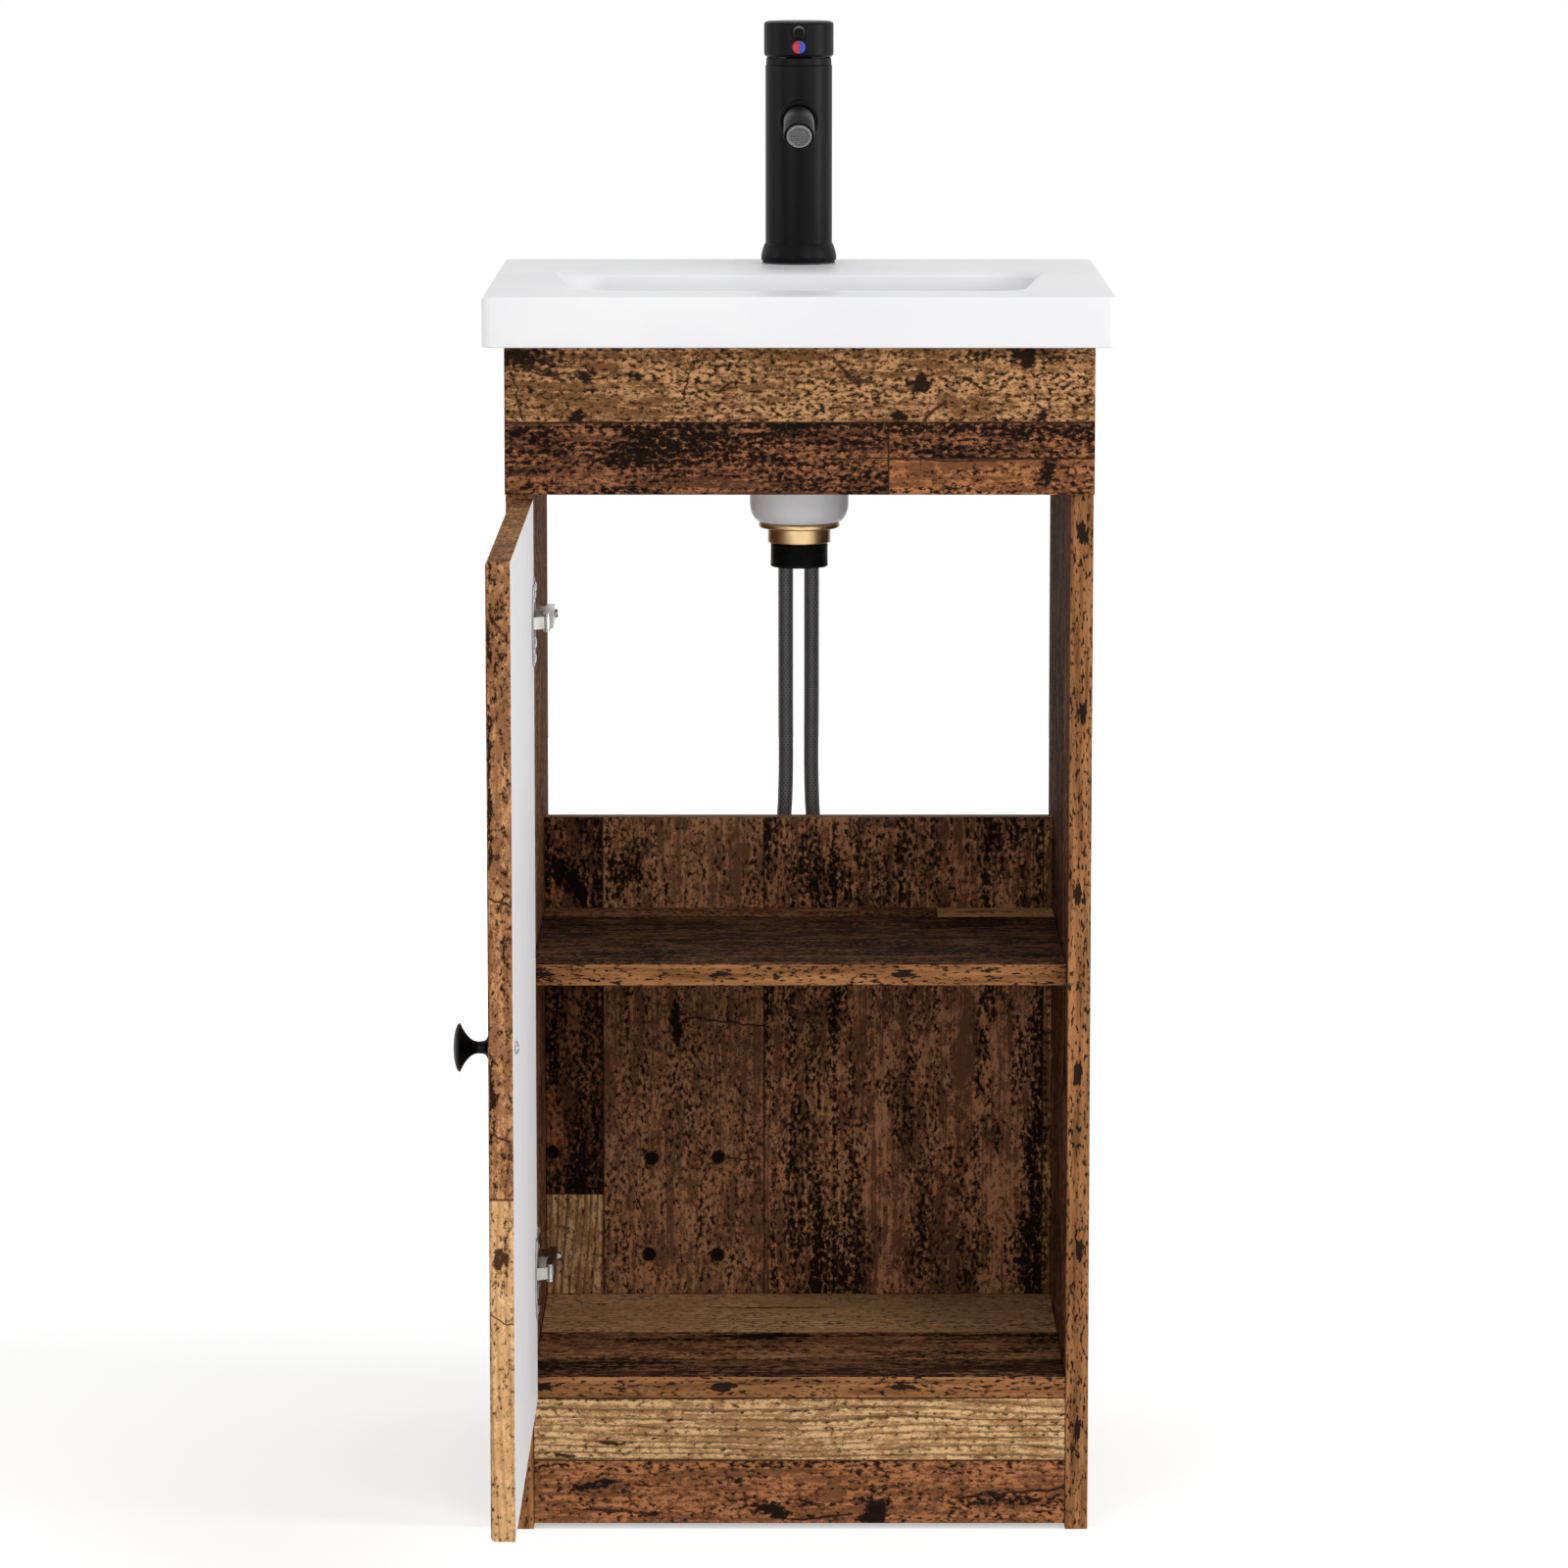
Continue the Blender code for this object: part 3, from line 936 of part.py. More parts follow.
def build_handle(frame, rotor_foot):
    """The rotor swivels in the cartridge; the cap, lever and stem lift together on the rotor's ears."""
    swivel = empty("handle_swivel_axis", frame, (0, TAP_Y, LEVER_PIVOT))
    rotor_top = LEVER_PIVOT + ROTOR_EAR
    rotor = rod("cartridge_rotor", ROTOR_RADIUS, rotor_top - rotor_foot, GREY_INSERT, swivel,
                (0, 0, (rotor_top + rotor_foot) / 2 - LEVER_PIVOT), sides=ROUND)
    half = STEM_SIDE / 2
    snug = half + FIT
    slot = box("rotor_slot", (-snug, -2 * ROTOR_RADIUS, -STEM_DROP - STEM_WELL),
               (snug, 2 * ROTOR_RADIUS, 2 * ROTOR_EAR), None, swivel, 0)
    combine(rotor, "DIFFERENCE", slot)

    lift = empty("handle_lift_axis", swivel, (0, 0, 0))
    cavity = CAP_RADIUS - CAP_WALL
    cap = [(0, CAP_HEIGHT), (CAP_RADIUS - CAP_TOP_EDGE, CAP_HEIGHT), (CAP_RADIUS, CAP_HEIGHT - CAP_TOP_EDGE)]
    cap += [(CAP_RADIUS - CAP_ROUNDING * (1 - math.cos(a)), CAP_ROUNDING * (1 - math.sin(a)))
            for a in (math.radians(d) for d in (0, 30, 60, 90))]
    cap += [(cavity, 0), (cavity, CAP_CAVITY), (0, CAP_CAVITY)]
    handle = turned("handle_cap", cap, MATT_BLACK, lift, (0, 0, 0))
    socket = box("stem_socket", (-snug, -snug, 0), (snug, snug, CAP_CAVITY + STEM_GRIP + FIT), None, lift, 0)
    relief = box("cap_relief", (-2 * CAP_RADIUS, 0, -2 * CAP_RADIUS), (2 * CAP_RADIUS, 3 * CAP_RADIUS, 0),
                 None, lift, 0)
    turn_about_corner(relief, math.radians(LEVER_LIFT_ANGLE + LIFT_RELIEF_ANGLE))
    lever_z = CAP_HEIGHT - LEVER_DROP
    stud_hole = rod("lever_stud_hole", LEVER_STUD_RADIUS + FIT, 2 * (LEVER_STUD_LENGTH + FIT), None, lift,
                    (0, -CAP_RADIUS, lever_z), ALONG_Y)
    dot_z = lever_z - LEVER_COLLAR_RADIUS - DOT_GAP - DOT_RADIUS
    dot_hole = rod("dot_hole", DOT_RADIUS + FIT, 2 * (DOT_DEPTH + FIT), None, lift, (0, -CAP_RADIUS, dot_z),
                   ALONG_Y)
    combine(handle, "DIFFERENCE", socket, relief, stud_hole, dot_hole)
    rod("temperature_dot", DOT_RADIUS, DOT_DEPTH, DOT_ENAMEL, lift,
        (0, -CAP_RADIUS + DOT_DEPTH / 2, dot_z), ALONG_Y)

    saddle = CAP_RADIUS - math.sqrt(CAP_RADIUS ** 2 - LEVER_COLLAR_RADIUS ** 2) + FIT
    lever_profile = [(0, LEVER_LENGTH), (LEVER_RADIUS - CHAMFER, LEVER_LENGTH),
                     (LEVER_RADIUS, LEVER_LENGTH - CHAMFER), (LEVER_RADIUS, LEVER_COLLAR + CHAMFER),
                     (LEVER_COLLAR_RADIUS - CHAMFER, LEVER_COLLAR),
                     (LEVER_COLLAR_RADIUS, LEVER_COLLAR - CHAMFER),
                     (LEVER_COLLAR_RADIUS, -2 * saddle), (0, -2 * saddle)]
    lever = turned("handle_lever", lever_profile, MATT_BLACK, lift, (0, -CAP_RADIUS, lever_z), ALONG_Y,
                   RING_ROUND)
    around = rod("lever_cap_clearance", CAP_RADIUS + FIT, 8 * LEVER_COLLAR_RADIUS, None, lift,
                 (0, 0, lever_z), sides=2 * ROUND)
    stud_length = LEVER_STUD_LENGTH + LEVER_COLLAR
    stud = rod("lever_stud", LEVER_STUD_RADIUS, stud_length, None, lift,
               (0, -CAP_RADIUS + LEVER_STUD_LENGTH - stud_length / 2, lever_z), ALONG_Y)
    combine(lever, "DIFFERENCE", around)
    combine(lever, "UNION", stud)
    box("lever_stem", (-half, -half, -STEM_DROP), (half, half, CAP_CAVITY + STEM_GRIP), NICKEL, lift, STEM_EDGE)
    return swivel, lift


def turn_about_corner(obj, angle):
    """Turns a box about the X axis through its parent's origin."""
    place = Vector(obj.location)
    cosine, sine = math.cos(angle), math.sin(angle)
    obj.location = (place.x, place.y * cosine - place.z * sine, place.y * sine + place.z * cosine)
    obj.rotation_euler = (angle, 0, 0)


def build_tap_fixing(frame):
    """Stud, horseshoe clamp and nut that hold the tap on the deck."""
    behind = FOOT_BORE_RADIUS - STUD_RADIUS - STUD_CLEARANCE
    y = TAP_Y + behind
    deck_under = BASIN_TOP - DECK_THICKNESS
    stud_top, stud_end = FOOT_BORE_TOP - FIT, deck_under - STUD_REACH
    rod("tap_stud", STUD_RADIUS, stud_top - stud_end, NICKEL, frame, (0, y, (stud_top + stud_end) / 2))
    clamp_z = deck_under - FIT - CLAMP_THICKNESS / 2
    slot_half = HOSE_SPACING / 2 + HOSE_RADIUS + FIT
    slot_rear = HOSE_RADIUS + FIT
    start = -math.degrees(math.acos(slot_half / CLAMP_RADIUS))
    outline = arc((0, 0), CLAMP_RADIUS, start, 180 - start, 24)
    outline += [(-slot_half, slot_rear), (slot_half, slot_rear)]
    hole = ring_points((0, behind), STUD_RADIUS + FIT, SMALL_ROUND)
    plate("tap_clamp", [outline, hole], CLAMP_THICKNESS, NICKEL, frame, (0, TAP_Y, clamp_z))
    nut_top = clamp_z - CLAMP_THICKNESS / 2 - FIT
    nut = rod("tap_clamp_nut", CLAMP_NUT_FLATS / math.sqrt(3), CLAMP_NUT_HEIGHT, BRASS, frame,
              (0, y, nut_top - CLAMP_NUT_HEIGHT / 2), sides=6)
    hole = rod("tap_clamp_nut_hole", STUD_RADIUS + FIT, 3 * CLAMP_NUT_HEIGHT, None, frame, (0, y, nut_top))
    combine(nut, "DIFFERENCE", hole)


def smooth_route(points, step):
    """Points every step along a Catmull-Rom curve through the route."""
    points = [Vector(p) for p in points]
    padded = [2 * points[0] - points[1], *points, 2 * points[-1] - points[-2]]
    path = [points[0]]
    for before, start, stop, after in zip(padded, padded[1:], padded[2:], padded[3:]):
        count = max(1, round((stop - start).length / step))
        for i in range(1, count + 1):
            t = i / count
            path.append(0.5 * (2 * start + (stop - before) * t
                               + (2 * before - 5 * start + 4 * stop - after) * t ** 2
                               + (3 * start - before - 3 * stop + after) * t ** 3))
    return path


def build_hoses(frame):
    """Two flexible hoses out of the tap's foot, each with a crimped ferrule and a hexagonal nut."""
    nut_top = HOSE_ROUTE[-1][1] - FIT
    nut_bottom = nut_top - HOSE_NUT_HEIGHT
    ferrule_top = nut_top + FERRULE_HEIGHT
    bore_radius = HOSE_RADIUS + 2 * FIT
    neck_length = FERRULE_HEIGHT + HOSE_NUT_HEIGHT / 2
    for side, sign in (("left", -1), ("right", 1)):
        places = [(0, FOOT_BORE_TOP - FIT), *HOSE_ROUTE]
        route = [(sign * (HOSE_SPACING / 2 + out), TAP_Y, z) for out, z in places]
        path = smooth_route(route, HOSE_POINT_STEP)
        add(f"{side}_hose", tube(f"{side}_hose", path, HOSE_RADIUS, 3), BRAID, frame, (0, 0, 0))
        x = route[-1][0]
        nut = rod(f"{side}_hose_nut", HOSE_NUT_FLATS / math.sqrt(3), HOSE_NUT_HEIGHT, NICKEL, frame,
                  (x, TAP_Y, (nut_top + nut_bottom) / 2), sides=6)
        neck = rod(f"{side}_hose_ferrule", bore_radius + FERRULE_WALL, neck_length, None, frame,
                   (x, TAP_Y, ferrule_top - neck_length / 2))
        bore = rod(f"{side}_hose_nut_bore", bore_radius, 2 * FERRULE_HEIGHT, None, frame,
                   (x, TAP_Y, ferrule_top))
        thread = rod(f"{side}_hose_nut_thread", HOSE_NUT_BORE, 1.4 * HOSE_NUT_HEIGHT, None, frame,
                     (x, TAP_Y, nut_bottom))
        combine(nut, "UNION", neck)
        combine(nut, "DIFFERENCE", bore, thread)


def build_unit():
    knob_reach = INNER_HALF - DOOR_OPEN_OFFSET + DOOR_THICKNESS + FIT + KNOB_RIM + KNOB_DOME
    middle_x = (BASIN_HALF - max(BASIN_HALF, knob_reach)) / 2
    middle_y = (BASIN_REAR - DOOR_OPEN_EDGE - DOOR_WIDTH) / 2
    frame = empty("vanity_origin", None, (-middle_x, -middle_y, 0))
    build_carcass(frame)
    link_axis, door_axis = build_door(frame)
    build_basin(frame)
    plug_axis = build_waste(frame)
    rotor_foot = build_tap_body(frame)
    build_spout(frame)
    swivel, lift = build_handle(frame, rotor_foot)
    build_tap_fixing(frame)
    build_hoses(frame)
    bpy.context.view_layer.update()
    for name, axis in (("arm pins", link_axis), ("cup pins", door_axis), ("plug", plug_axis),
                       ("handle swivel", swivel), ("handle lift", lift)):
        print(f"{name}: axis through", [round(c, 6) for c in axis.matrix_world.translation])
    print(f"link swing {math.degrees(LINK_SWING):.4f} degrees as the door opens {DOOR_OPEN_ANGLE} degrees")


build_unit()
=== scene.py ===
# %% [markdown]
# # A narrow vanity unit with one open door
#
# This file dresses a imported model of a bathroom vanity: a plank-print cabinet, a ceramic basin and a
# black mixer tap. The model gives the solids and says which of them move together. This file gives the
# finishes, and finer shapes where a faceted solid would show. Sizes are metres unless a comment says
# millimetres. The cabinet's own frame has X to the right, Y = 0 on the front edges of the side panels
# and growing towards the wall, and Z = 0 on the floor.

# %% Load the frame
import math

import bmesh
import bpy
import numpy as np
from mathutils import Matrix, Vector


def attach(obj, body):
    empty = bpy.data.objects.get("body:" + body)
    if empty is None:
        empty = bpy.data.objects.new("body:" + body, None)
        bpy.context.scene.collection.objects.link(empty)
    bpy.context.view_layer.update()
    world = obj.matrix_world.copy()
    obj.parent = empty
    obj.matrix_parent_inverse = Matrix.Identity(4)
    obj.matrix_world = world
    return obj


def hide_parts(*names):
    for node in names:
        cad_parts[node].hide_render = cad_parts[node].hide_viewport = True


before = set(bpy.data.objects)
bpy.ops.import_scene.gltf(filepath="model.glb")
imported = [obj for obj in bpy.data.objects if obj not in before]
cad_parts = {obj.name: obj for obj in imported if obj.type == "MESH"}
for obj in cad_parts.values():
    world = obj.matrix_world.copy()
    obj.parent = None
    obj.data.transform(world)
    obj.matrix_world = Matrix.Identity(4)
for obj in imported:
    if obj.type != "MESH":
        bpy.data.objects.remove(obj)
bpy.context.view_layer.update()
# where the cabinet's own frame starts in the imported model
ORIGIN = np.array([0.0028, 0.021, 0.0])
X, Y, Z = np.eye(3)


def in_scene(name, data):
    """A new object in the scene, made of a mesh, a lamp or a camera."""
    made = bpy.data.objects.new(name, data)
    bpy.context.scene.collection.objects.link(made)
    return made


print("solids in the frame:", len(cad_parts))

# %% [markdown]
# ## The camera
#
# The unit was photographed with a long lens from about 4.4 m, a little above the basin. The picture
# keeps its uprights parallel, as a shifted lens does. A tilted camera without shift is within a few
# pixels of it over so narrow an object, and it also stands up to being moved round for other views.

# %% Camera
DEGREES_DOWN = 8.015
camera = in_scene("camera", bpy.data.cameras.new("camera"))
camera.location = ORIGIN + [-0.0102, -4.444, 1.1263]
camera.rotation_euler = (math.radians(90 - DEGREES_DOWN), 0, 0)
camera.data.sensor_width = 36
camera.data.lens = 157.32
camera.data.clip_end = 60
bpy.context.scene.camera = camera
bpy.context.scene.view_settings.view_transform = "Standard"
print("camera at", [round(c, 3) for c in camera.location])

# %% [markdown]
# ## Shader maths
#
# A material is a graph of nodes, and long graphs are hard to read as calls. Here one class holds a tree
# and adds any node to it, and another wraps an output so that ordinary arithmetic adds Math nodes. A
# finish can then be written as the formula that it is.


# %% Node tree and value classes
class Value:
    """One output in a node tree. Arithmetic on it adds Math nodes to the same tree."""

    def __init__(self, tree, socket):
        self.tree, self.socket = tree, socket

    def __add__(self, other):
        return self.tree.math("ADD", self, other)

    def __sub__(self, other):
        return self.tree.math("SUBTRACT", self, other)

    def __rsub__(self, other):
        return self.tree.math("SUBTRACT", other, self)

    def __mul__(self, other):
        return self.tree.math("MULTIPLY", self, other)

    def __abs__(self):
        return self.tree.math("ABSOLUTE", self)

    __radd__, __rmul__ = __add__, __mul__

    def step(self, low, high):
        """0 up to low and 1 from high on, with a smooth rise; it falls where low is above high."""
        limits = {"Value": self, "From Min": low, "From Max": high}
        return self.tree.node("MapRange", {"interpolation_type": "SMOOTHSTEP"}, limits)


class Nodes:
    """A node tree, and one way to add any node to it."""

    def __init__(self, tree):
        self.tree = tree

    def node(self, kind, settings=None, inputs=None, output=0):
        made = self.tree.nodes.new("ShaderNode" + kind)
        for name, setting in (settings or {}).items():
            setattr(made, name, setting)
        for name, value in (inputs or {}).items():
            self.feed(made.inputs[name], value)
        return Value(self, made.outputs[output])

    def feed(self, socket, value):
        if isinstance(value, Value):
            self.tree.links.new(value.socket, socket)
        else:
            socket.default_value = value

    def math(self, operation, *values):
        return self.node("Math", {"operation": operation}, dict(enumerate(values)))

    def most(self, first, second):
        return self.math("MAXIMUM", first, second)

    def length(self, x, y):
        """Pythagoras: the square root of x squared + y squared."""
        return self.math("SQRT", x * x + y * y)

    def mix(self, share, first, second):
        """A colour between two colours."""
        return self.node("Mix", {"data_type": "RGBA"}, {0: share, 6: first, 7: second}, 2)

    def noise(self, where, detail, rough=0.5):
        inputs = {"Vector": where, "Scale": 1.0, "Detail": detail, "Roughness": rough}
        return self.node("TexNoise", {}, inputs)

    def seen_directly(self):
        """1 on rays from the camera, in a mirror or through glass, and 0 on rays that only carry light."""
        rays = [self.node("LightPath", output=name)
                for name in ("Is Camera Ray", "Is Glossy Ray", "Is Transmission Ray")]
        return self.most(self.most(rays[0], rays[1]), rays[2])


class Finish(Nodes):
    """A material with a Principled shader. Numbers that hold all over go straight to its sockets."""

    def __init__(self, name, **constants):
        self.material = bpy.data.materials.new(name)
        self.material.use_nodes = True
        super().__init__(self.material.node_tree)
        self.shader = self.tree.nodes["Principled BSDF"]
        self.set(**constants)

    def set(self, **values):
        for name, value in values.items():
            self.feed(self.shader.inputs[name.replace("_", " ")], value)

    def place(self):
        return self.node("TexCoord", output="Object")

    def stretched(self, factors):
        """The position with each axis scaled by its own factor."""
        return self.node("VectorMath", {"operation": "MULTIPLY"}, {0: self.place(), 1: factors})

    def cloud(self, fine, detail):
        """Noise of one fineness, or of one for each axis."""
        return self.noise(self.stretched(fine if isinstance(fine, tuple) else (fine, fine, fine)), detail)

    def axes(self, where=None):
        """The three numbers of a position."""
        where = where or self.place()
        return [self.node("SeparateXYZ", {}, {0: where}, axis) for axis in range(3)]

    def board_axes(self, run, cross):
        """Positions along and across a board in the cabinet's frame, and one through its thickness."""
        axes = self.axes()
        u, v = [axes[axis] - float(ORIGIN[axis]) for axis in (run, cross)]
        return u, v, axes[3 - run - cross]

    def point(self, x, y, z):
        return self.node("CombineXYZ", {}, {0: x, 1: y, 2: z})

    def relief(self, height, depth, strength=1.0):
        """Bumps of that depth, read from a height between 0 and 1."""
        self.set(Normal=self.node("Bump", {}, {"Strength": strength, "Distance": depth, "Height": height}))


def srgb(red, green, blue):
    """A colour as a picture shows it, 0 to 255, made linear for the shader."""
    shown = np.array([red, green, blue]) / 255
    linear = np.where(shown < 0.04045, shown / 12.92, ((shown + 0.055) / 1.055) ** 2.4)
    return (*linear.tolist(), 1.0)


print("shader classes ready")

# %% [markdown]
# ## Making pieces
#
# Nearly every new piece is a profile spun about an axis, a round section carried along a path, or a
# stack of rings. Each is worked out as a grid of points with numpy. `piece` joins such grids into one
# mesh, welds it, and hands it to the body that it moves with.


# %% Meshes from grids
def grid_faces(rows, columns, close_rows=False):
    """Quads between neighbouring points of a grid whose columns go round; its rows may close as well."""
    i = np.arange(rows if close_rows else rows - 1)[:, None]
    j = np.arange(columns)[None, :]
    below, beside = (i + 1) % rows, (j + 1) % columns
    corners = (i * columns + j, i * columns + beside, below * columns + beside, below * columns + j)
    return np.stack(np.broadcast_arrays(*corners), axis=-1).reshape(-1, 4)


def weld(mesh):
    """Closes seams and poles, where a grid's points meet, and turns the faces outwards."""
    bm = bmesh.new()
    bm.from_mesh(mesh)
    bmesh.ops.remove_doubles(bm, verts=bm.verts, dist=0.000002)
    bmesh.ops.dissolve_degenerate(bm, edges=bm.edges, dist=0.000001)
    bmesh.ops.recalc_face_normals(bm, faces=bm.faces)
    bm.to_mesh(mesh)
    bm.free()


def new_object(name, points, faces):
    mesh = bpy.data.meshes.new(name)
    mesh.from_pydata(points.reshape(-1, 3), [], faces)
    weld(mesh)
    return in_scene(name, mesh)


print("grids can be made meshes")


# %% Profiles and spun shapes
def around(sides):
    """Angles of a full turn in equal steps."""
    return np.linspace(0, 2 * np.pi, sides, endpoint=False)


def softened(points, size, steps=5):
    """A line with its corners eased: near each corner it follows the parabola tangent to both sides."""
    points = np.asarray(points, dtype=float)
    corner = points[1:-1]
    back, ahead = points[:-2] - corner, points[2:] - corner
    long_back = np.linalg.norm(back, axis=1, keepdims=True)
    long_ahead = np.linalg.norm(ahead, axis=1, keepdims=True)
    reach = np.minimum(size, 0.45 * np.minimum(long_back, long_ahead))
    start, stop = corner + back / long_back * reach, corner + ahead / long_ahead * reach
    t = np.linspace(0, 1, steps)[:, None, None]
    curve = (1 - t) ** 2 * start + 2 * t * (1 - t) * corner + t ** 2 * stop
    return np.concatenate([points[:1], curve.transpose(1, 0, 2).reshape(-1, points.shape[1]), points[-1:]])


def side_axes(axis):
    """An axis as a unit direction, and two more that are square to it and to each other."""
    axis = np.asarray(axis, dtype=float) / np.linalg.norm(axis)
    first = np.cross(axis, X if abs(axis[0]) < 0.9 else Y)
    first /= np.linalg.norm(first)
    return axis, first, np.cross(axis, first)


def turned(profile, centre, axis=Z, sides=96, closed=False):
    """A profile of radius r and height h, spun: centre + r (cos a e1 + sin a e2) + h axis."""
    axis, first, second = side_axes(axis)
    angle = around(sides)[:, None]
    ring = np.cos(angle) * first + np.sin(angle) * second
    radius, height = np.asarray(profile, dtype=float).T
    grid = np.asarray(centre) + radius[:, None, None] * ring + height[:, None, None] * axis
    return grid, grid_faces(len(profile), sides, close_rows=closed)


print("profiles can be eased and spun")


# %% Handing pieces over
def piece(name, grids, body, slot, replaces=(), smooth=35, finish=None):
    """Joins grids of the cabinet's frame into one mesh; the slot names the finish if none is given."""
    counts = np.cumsum([0] + [grid.size // 3 for grid, _ in grids])
    points = np.concatenate([grid.reshape(-1, 3) for grid, _ in grids]) + ORIGIN
    faces = np.concatenate([faces + count for (_, faces), count in zip(grids, counts)])
    made = new_object(name, points, faces)
    return hand_over(made, [finish or FINISHES[slot]], body, replaces, smooth)


def hand_over(made, finishes, body, replaces=(), smooth=35):
    """Gives an object its finishes, its smooth shading, its body and the nodes that it stands for."""
    made.data.materials.clear()
    for finish in finishes:
        made.data.materials.append(finish.material)
    made.data.shade_smooth()
    made.data.set_sharp_from_angle(angle=math.radians(smooth))
    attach(made, body)
    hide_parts(*replaces)
    print(made.name, len(made.data.polygons), "faces on", body)
    return made


print("pieces can be handed over")

# %% [markdown]
# ## Floor and light
#
# The unit stands on a pale floor against white, under soft studio light: a key and a fill in front, a
# strip on either side that draws the edges, and a weak lamp overhead. The white is what the camera and
# reflections see of the world and of the outer floor, so no extra light falls on the unit. Near the
# unit the floor is an ordinary pale surface, and keeps the shadow.

# %% Floor, world and lamps
FLOOR_REACH, FLOOR_RINGS = 4.0, 9
WORLD_LIGHT = 0.40
disc = np.column_stack([np.linspace(0, FLOOR_REACH, FLOOR_RINGS), np.zeros(FLOOR_RINGS)])
floor = new_object("floor", *turned(disc, (0, 0, 0), sides=64))
pale = Finish("pale_floor", Base_Color=(0.80, 0.80, 0.80, 1), Roughness=0.9, Emission_Strength=1.0)
x, y, _ = pale.axes()
# a faint glow under the unit, which rises to full white further out
glow = pale.seen_directly() * (0.46 + 0.54 * pale.length(x, y).step(0.7, 2.6))
pale.set(Emission_Color=pale.point(glow, glow, glow))
floor.data.materials.append(pale.material)

world = bpy.data.worlds.new("studio")
world.use_nodes = True
bpy.context.scene.world = world
sky = Nodes(world.node_tree)
background = world.node_tree.nodes["Background"]
background.inputs["Color"].default_value = (1, 1, 1, 1)
direct = sky.seen_directly()
sky.feed(background.inputs["Strength"], direct + (1 - direct) * WORLD_LIGHT)


def softbox(name, place, aim, size, watts):
    """An area lamp at a place, turned to its aim."""
    data = bpy.data.lights.new(name, "AREA")
    data.shape = "RECTANGLE"
    data.size, data.size_y = size
    data.energy = watts
    lamp = in_scene(name, data)
    lamp.location = place
    heading = Vector(aim) - Vector(place)
    lamp.rotation_euler = heading.to_track_quat("-Z", "Y").to_euler()


softbox("key", (2.0, -3.0, 1.9), (0, 0.1, 0.5), (1.6, 1.6), 39)
softbox("fill", (-1.6, -3.2, 0.9), (0, 0.1, 0.5), (1.4, 1.6), 26)
softbox("right_strip", (2.7, -0.5, 0.8), (0, -0.1, 0.6), (0.7, 2.3), 48)
softbox("left_strip", (-2.7, -0.3, 1.2), (0, 0.1, 0.7), (0.5, 1.6), 12)
softbox("overhead", (0.1, -0.2, 2.9), (0, 0.1, 0.8), (1.4, 1.4), 13)
print("floor, world and", len(bpy.data.lights), "lamps")

# %% [markdown]
# ## Supply hoses
#
# Two braided hoses leave the tap's foot, hang straight down behind the shelf, and spread a little to
# where two angle valves would be. Tap hoses are about half a metre long, and each ends in a ferrule and
# a hexagonal nut. The route is a Catmull-Rom curve through a few points. The braid follows the hose, so
# its pattern reads a UV map that runs round and along the tube.

# %% Hose route and braid
TAP_Y = 0.304
HOSE_RADIUS, HOSE_SIDES = 0.0052, 32
# half the distance between the hoses at the tap, then how far outwards each goes at which height
HOSE_APART = 0.009
HOSE_ROUTE = np.array([(0, 0.8448), (0, 0.720), (0, 0.620), (0, 0.520), (0, 0.460), (0.0025, 0.420),
                       (0.0095, 0.380), (0.016, 0.347), (0.016, 0.332), (0.016, 0.317)])
ROUTE_STEP = 0.016
# waves of the braid in a metre, and in a turn round the hose
BRAID_ALONG, BRAID_ROUND = 260, 12


def smooth_route(points, step):
    """Catmull-Rom: between two points, a cubic whose slopes come from the points before and after."""
    padded = np.concatenate([2 * points[:1] - points[1:2], points, 2 * points[-1:] - points[-2:-1]])
    path = [points[:1]]
    for before, start, stop, after in zip(padded, padded[1:], padded[2:], padded[3:]):
        t = np.linspace(0, 1, max(1, round(np.linalg.norm(stop - start) / step)) + 1)[1:, None]
        square, cube = 2 * before - 5 * start + 4 * stop - after, 3 * start - before - 3 * stop + after
        path.append(0.5 * (2 * start + (stop - before) * t + square * t ** 2 + cube * t ** 3))
    return np.concatenate(path)


def carried(path, radius, side, up, sides):
    """A round section along a path in a plane: path + r (cos a side + sin a up)."""
    angle = around(sides)[None, :, None]
    ring = np.cos(angle) * side + np.sin(angle) * up[:, None, :]
    return path[:, None, :] + radius[:, None, None] * ring, grid_faces(len(path), sides)


def braid_finish():
    """Two sets of strands wind round the hose opposite ways, and the one with the higher wave is on top."""
    braid = Finish("hose_braid", IOR=1.5, Specular_IOR_Level=0.45)
    along, turns, _ = braid.axes(braid.node("UVMap", {"uv_map": "braid"}))
    right = braid.math("SINE", (along * BRAID_ALONG + turns * BRAID_ROUND) * (2 * math.pi))
    left = braid.math("SINE", (along * BRAID_ALONG - turns * BRAID_ROUND) * (2 * math.pi))
    top = braid.most(right, left) * 0.5 + 0.5
    # tops of the strands are pale and the gaps between them are painted darker, as painted shade; the slow
    # cloud is a tone that differs at random
    gap_shade_and_tone = top.step(0.1, 0.9) * (0.7 + 0.3 * braid.cloud((60, 60, 25), 3))
    braid.set(Base_Color=braid.mix(gap_shade_and_tone, srgb(72, 72, 74), srgb(122, 122, 124)),
              Roughness=0.34 + 0.2 * (1 - top))
    braid.relief(top, 0.0001)
    return braid


hose_braid = braid_finish()


def braid_map(mesh, lengths):
    """UV of each face corner: metres along the hose, and turns round it from 0 to 1."""
    numbers = np.meshgrid(np.arange(len(lengths) - 1), np.arange(HOSE_SIDES), indexing="ij")
    i, j = [number.reshape(-1, 1) for number in numbers]
    along = lengths[np.concatenate([i, i, i + 1, i + 1], axis=1)]
    turns = np.concatenate([j, j + 1, j + 1, j], axis=1) / HOSE_SIDES
    layer = mesh.uv_layers.new(name="braid")
    layer.data.foreach_set("uv", np.stack([along, turns], axis=-1).astype(np.float32).ravel())


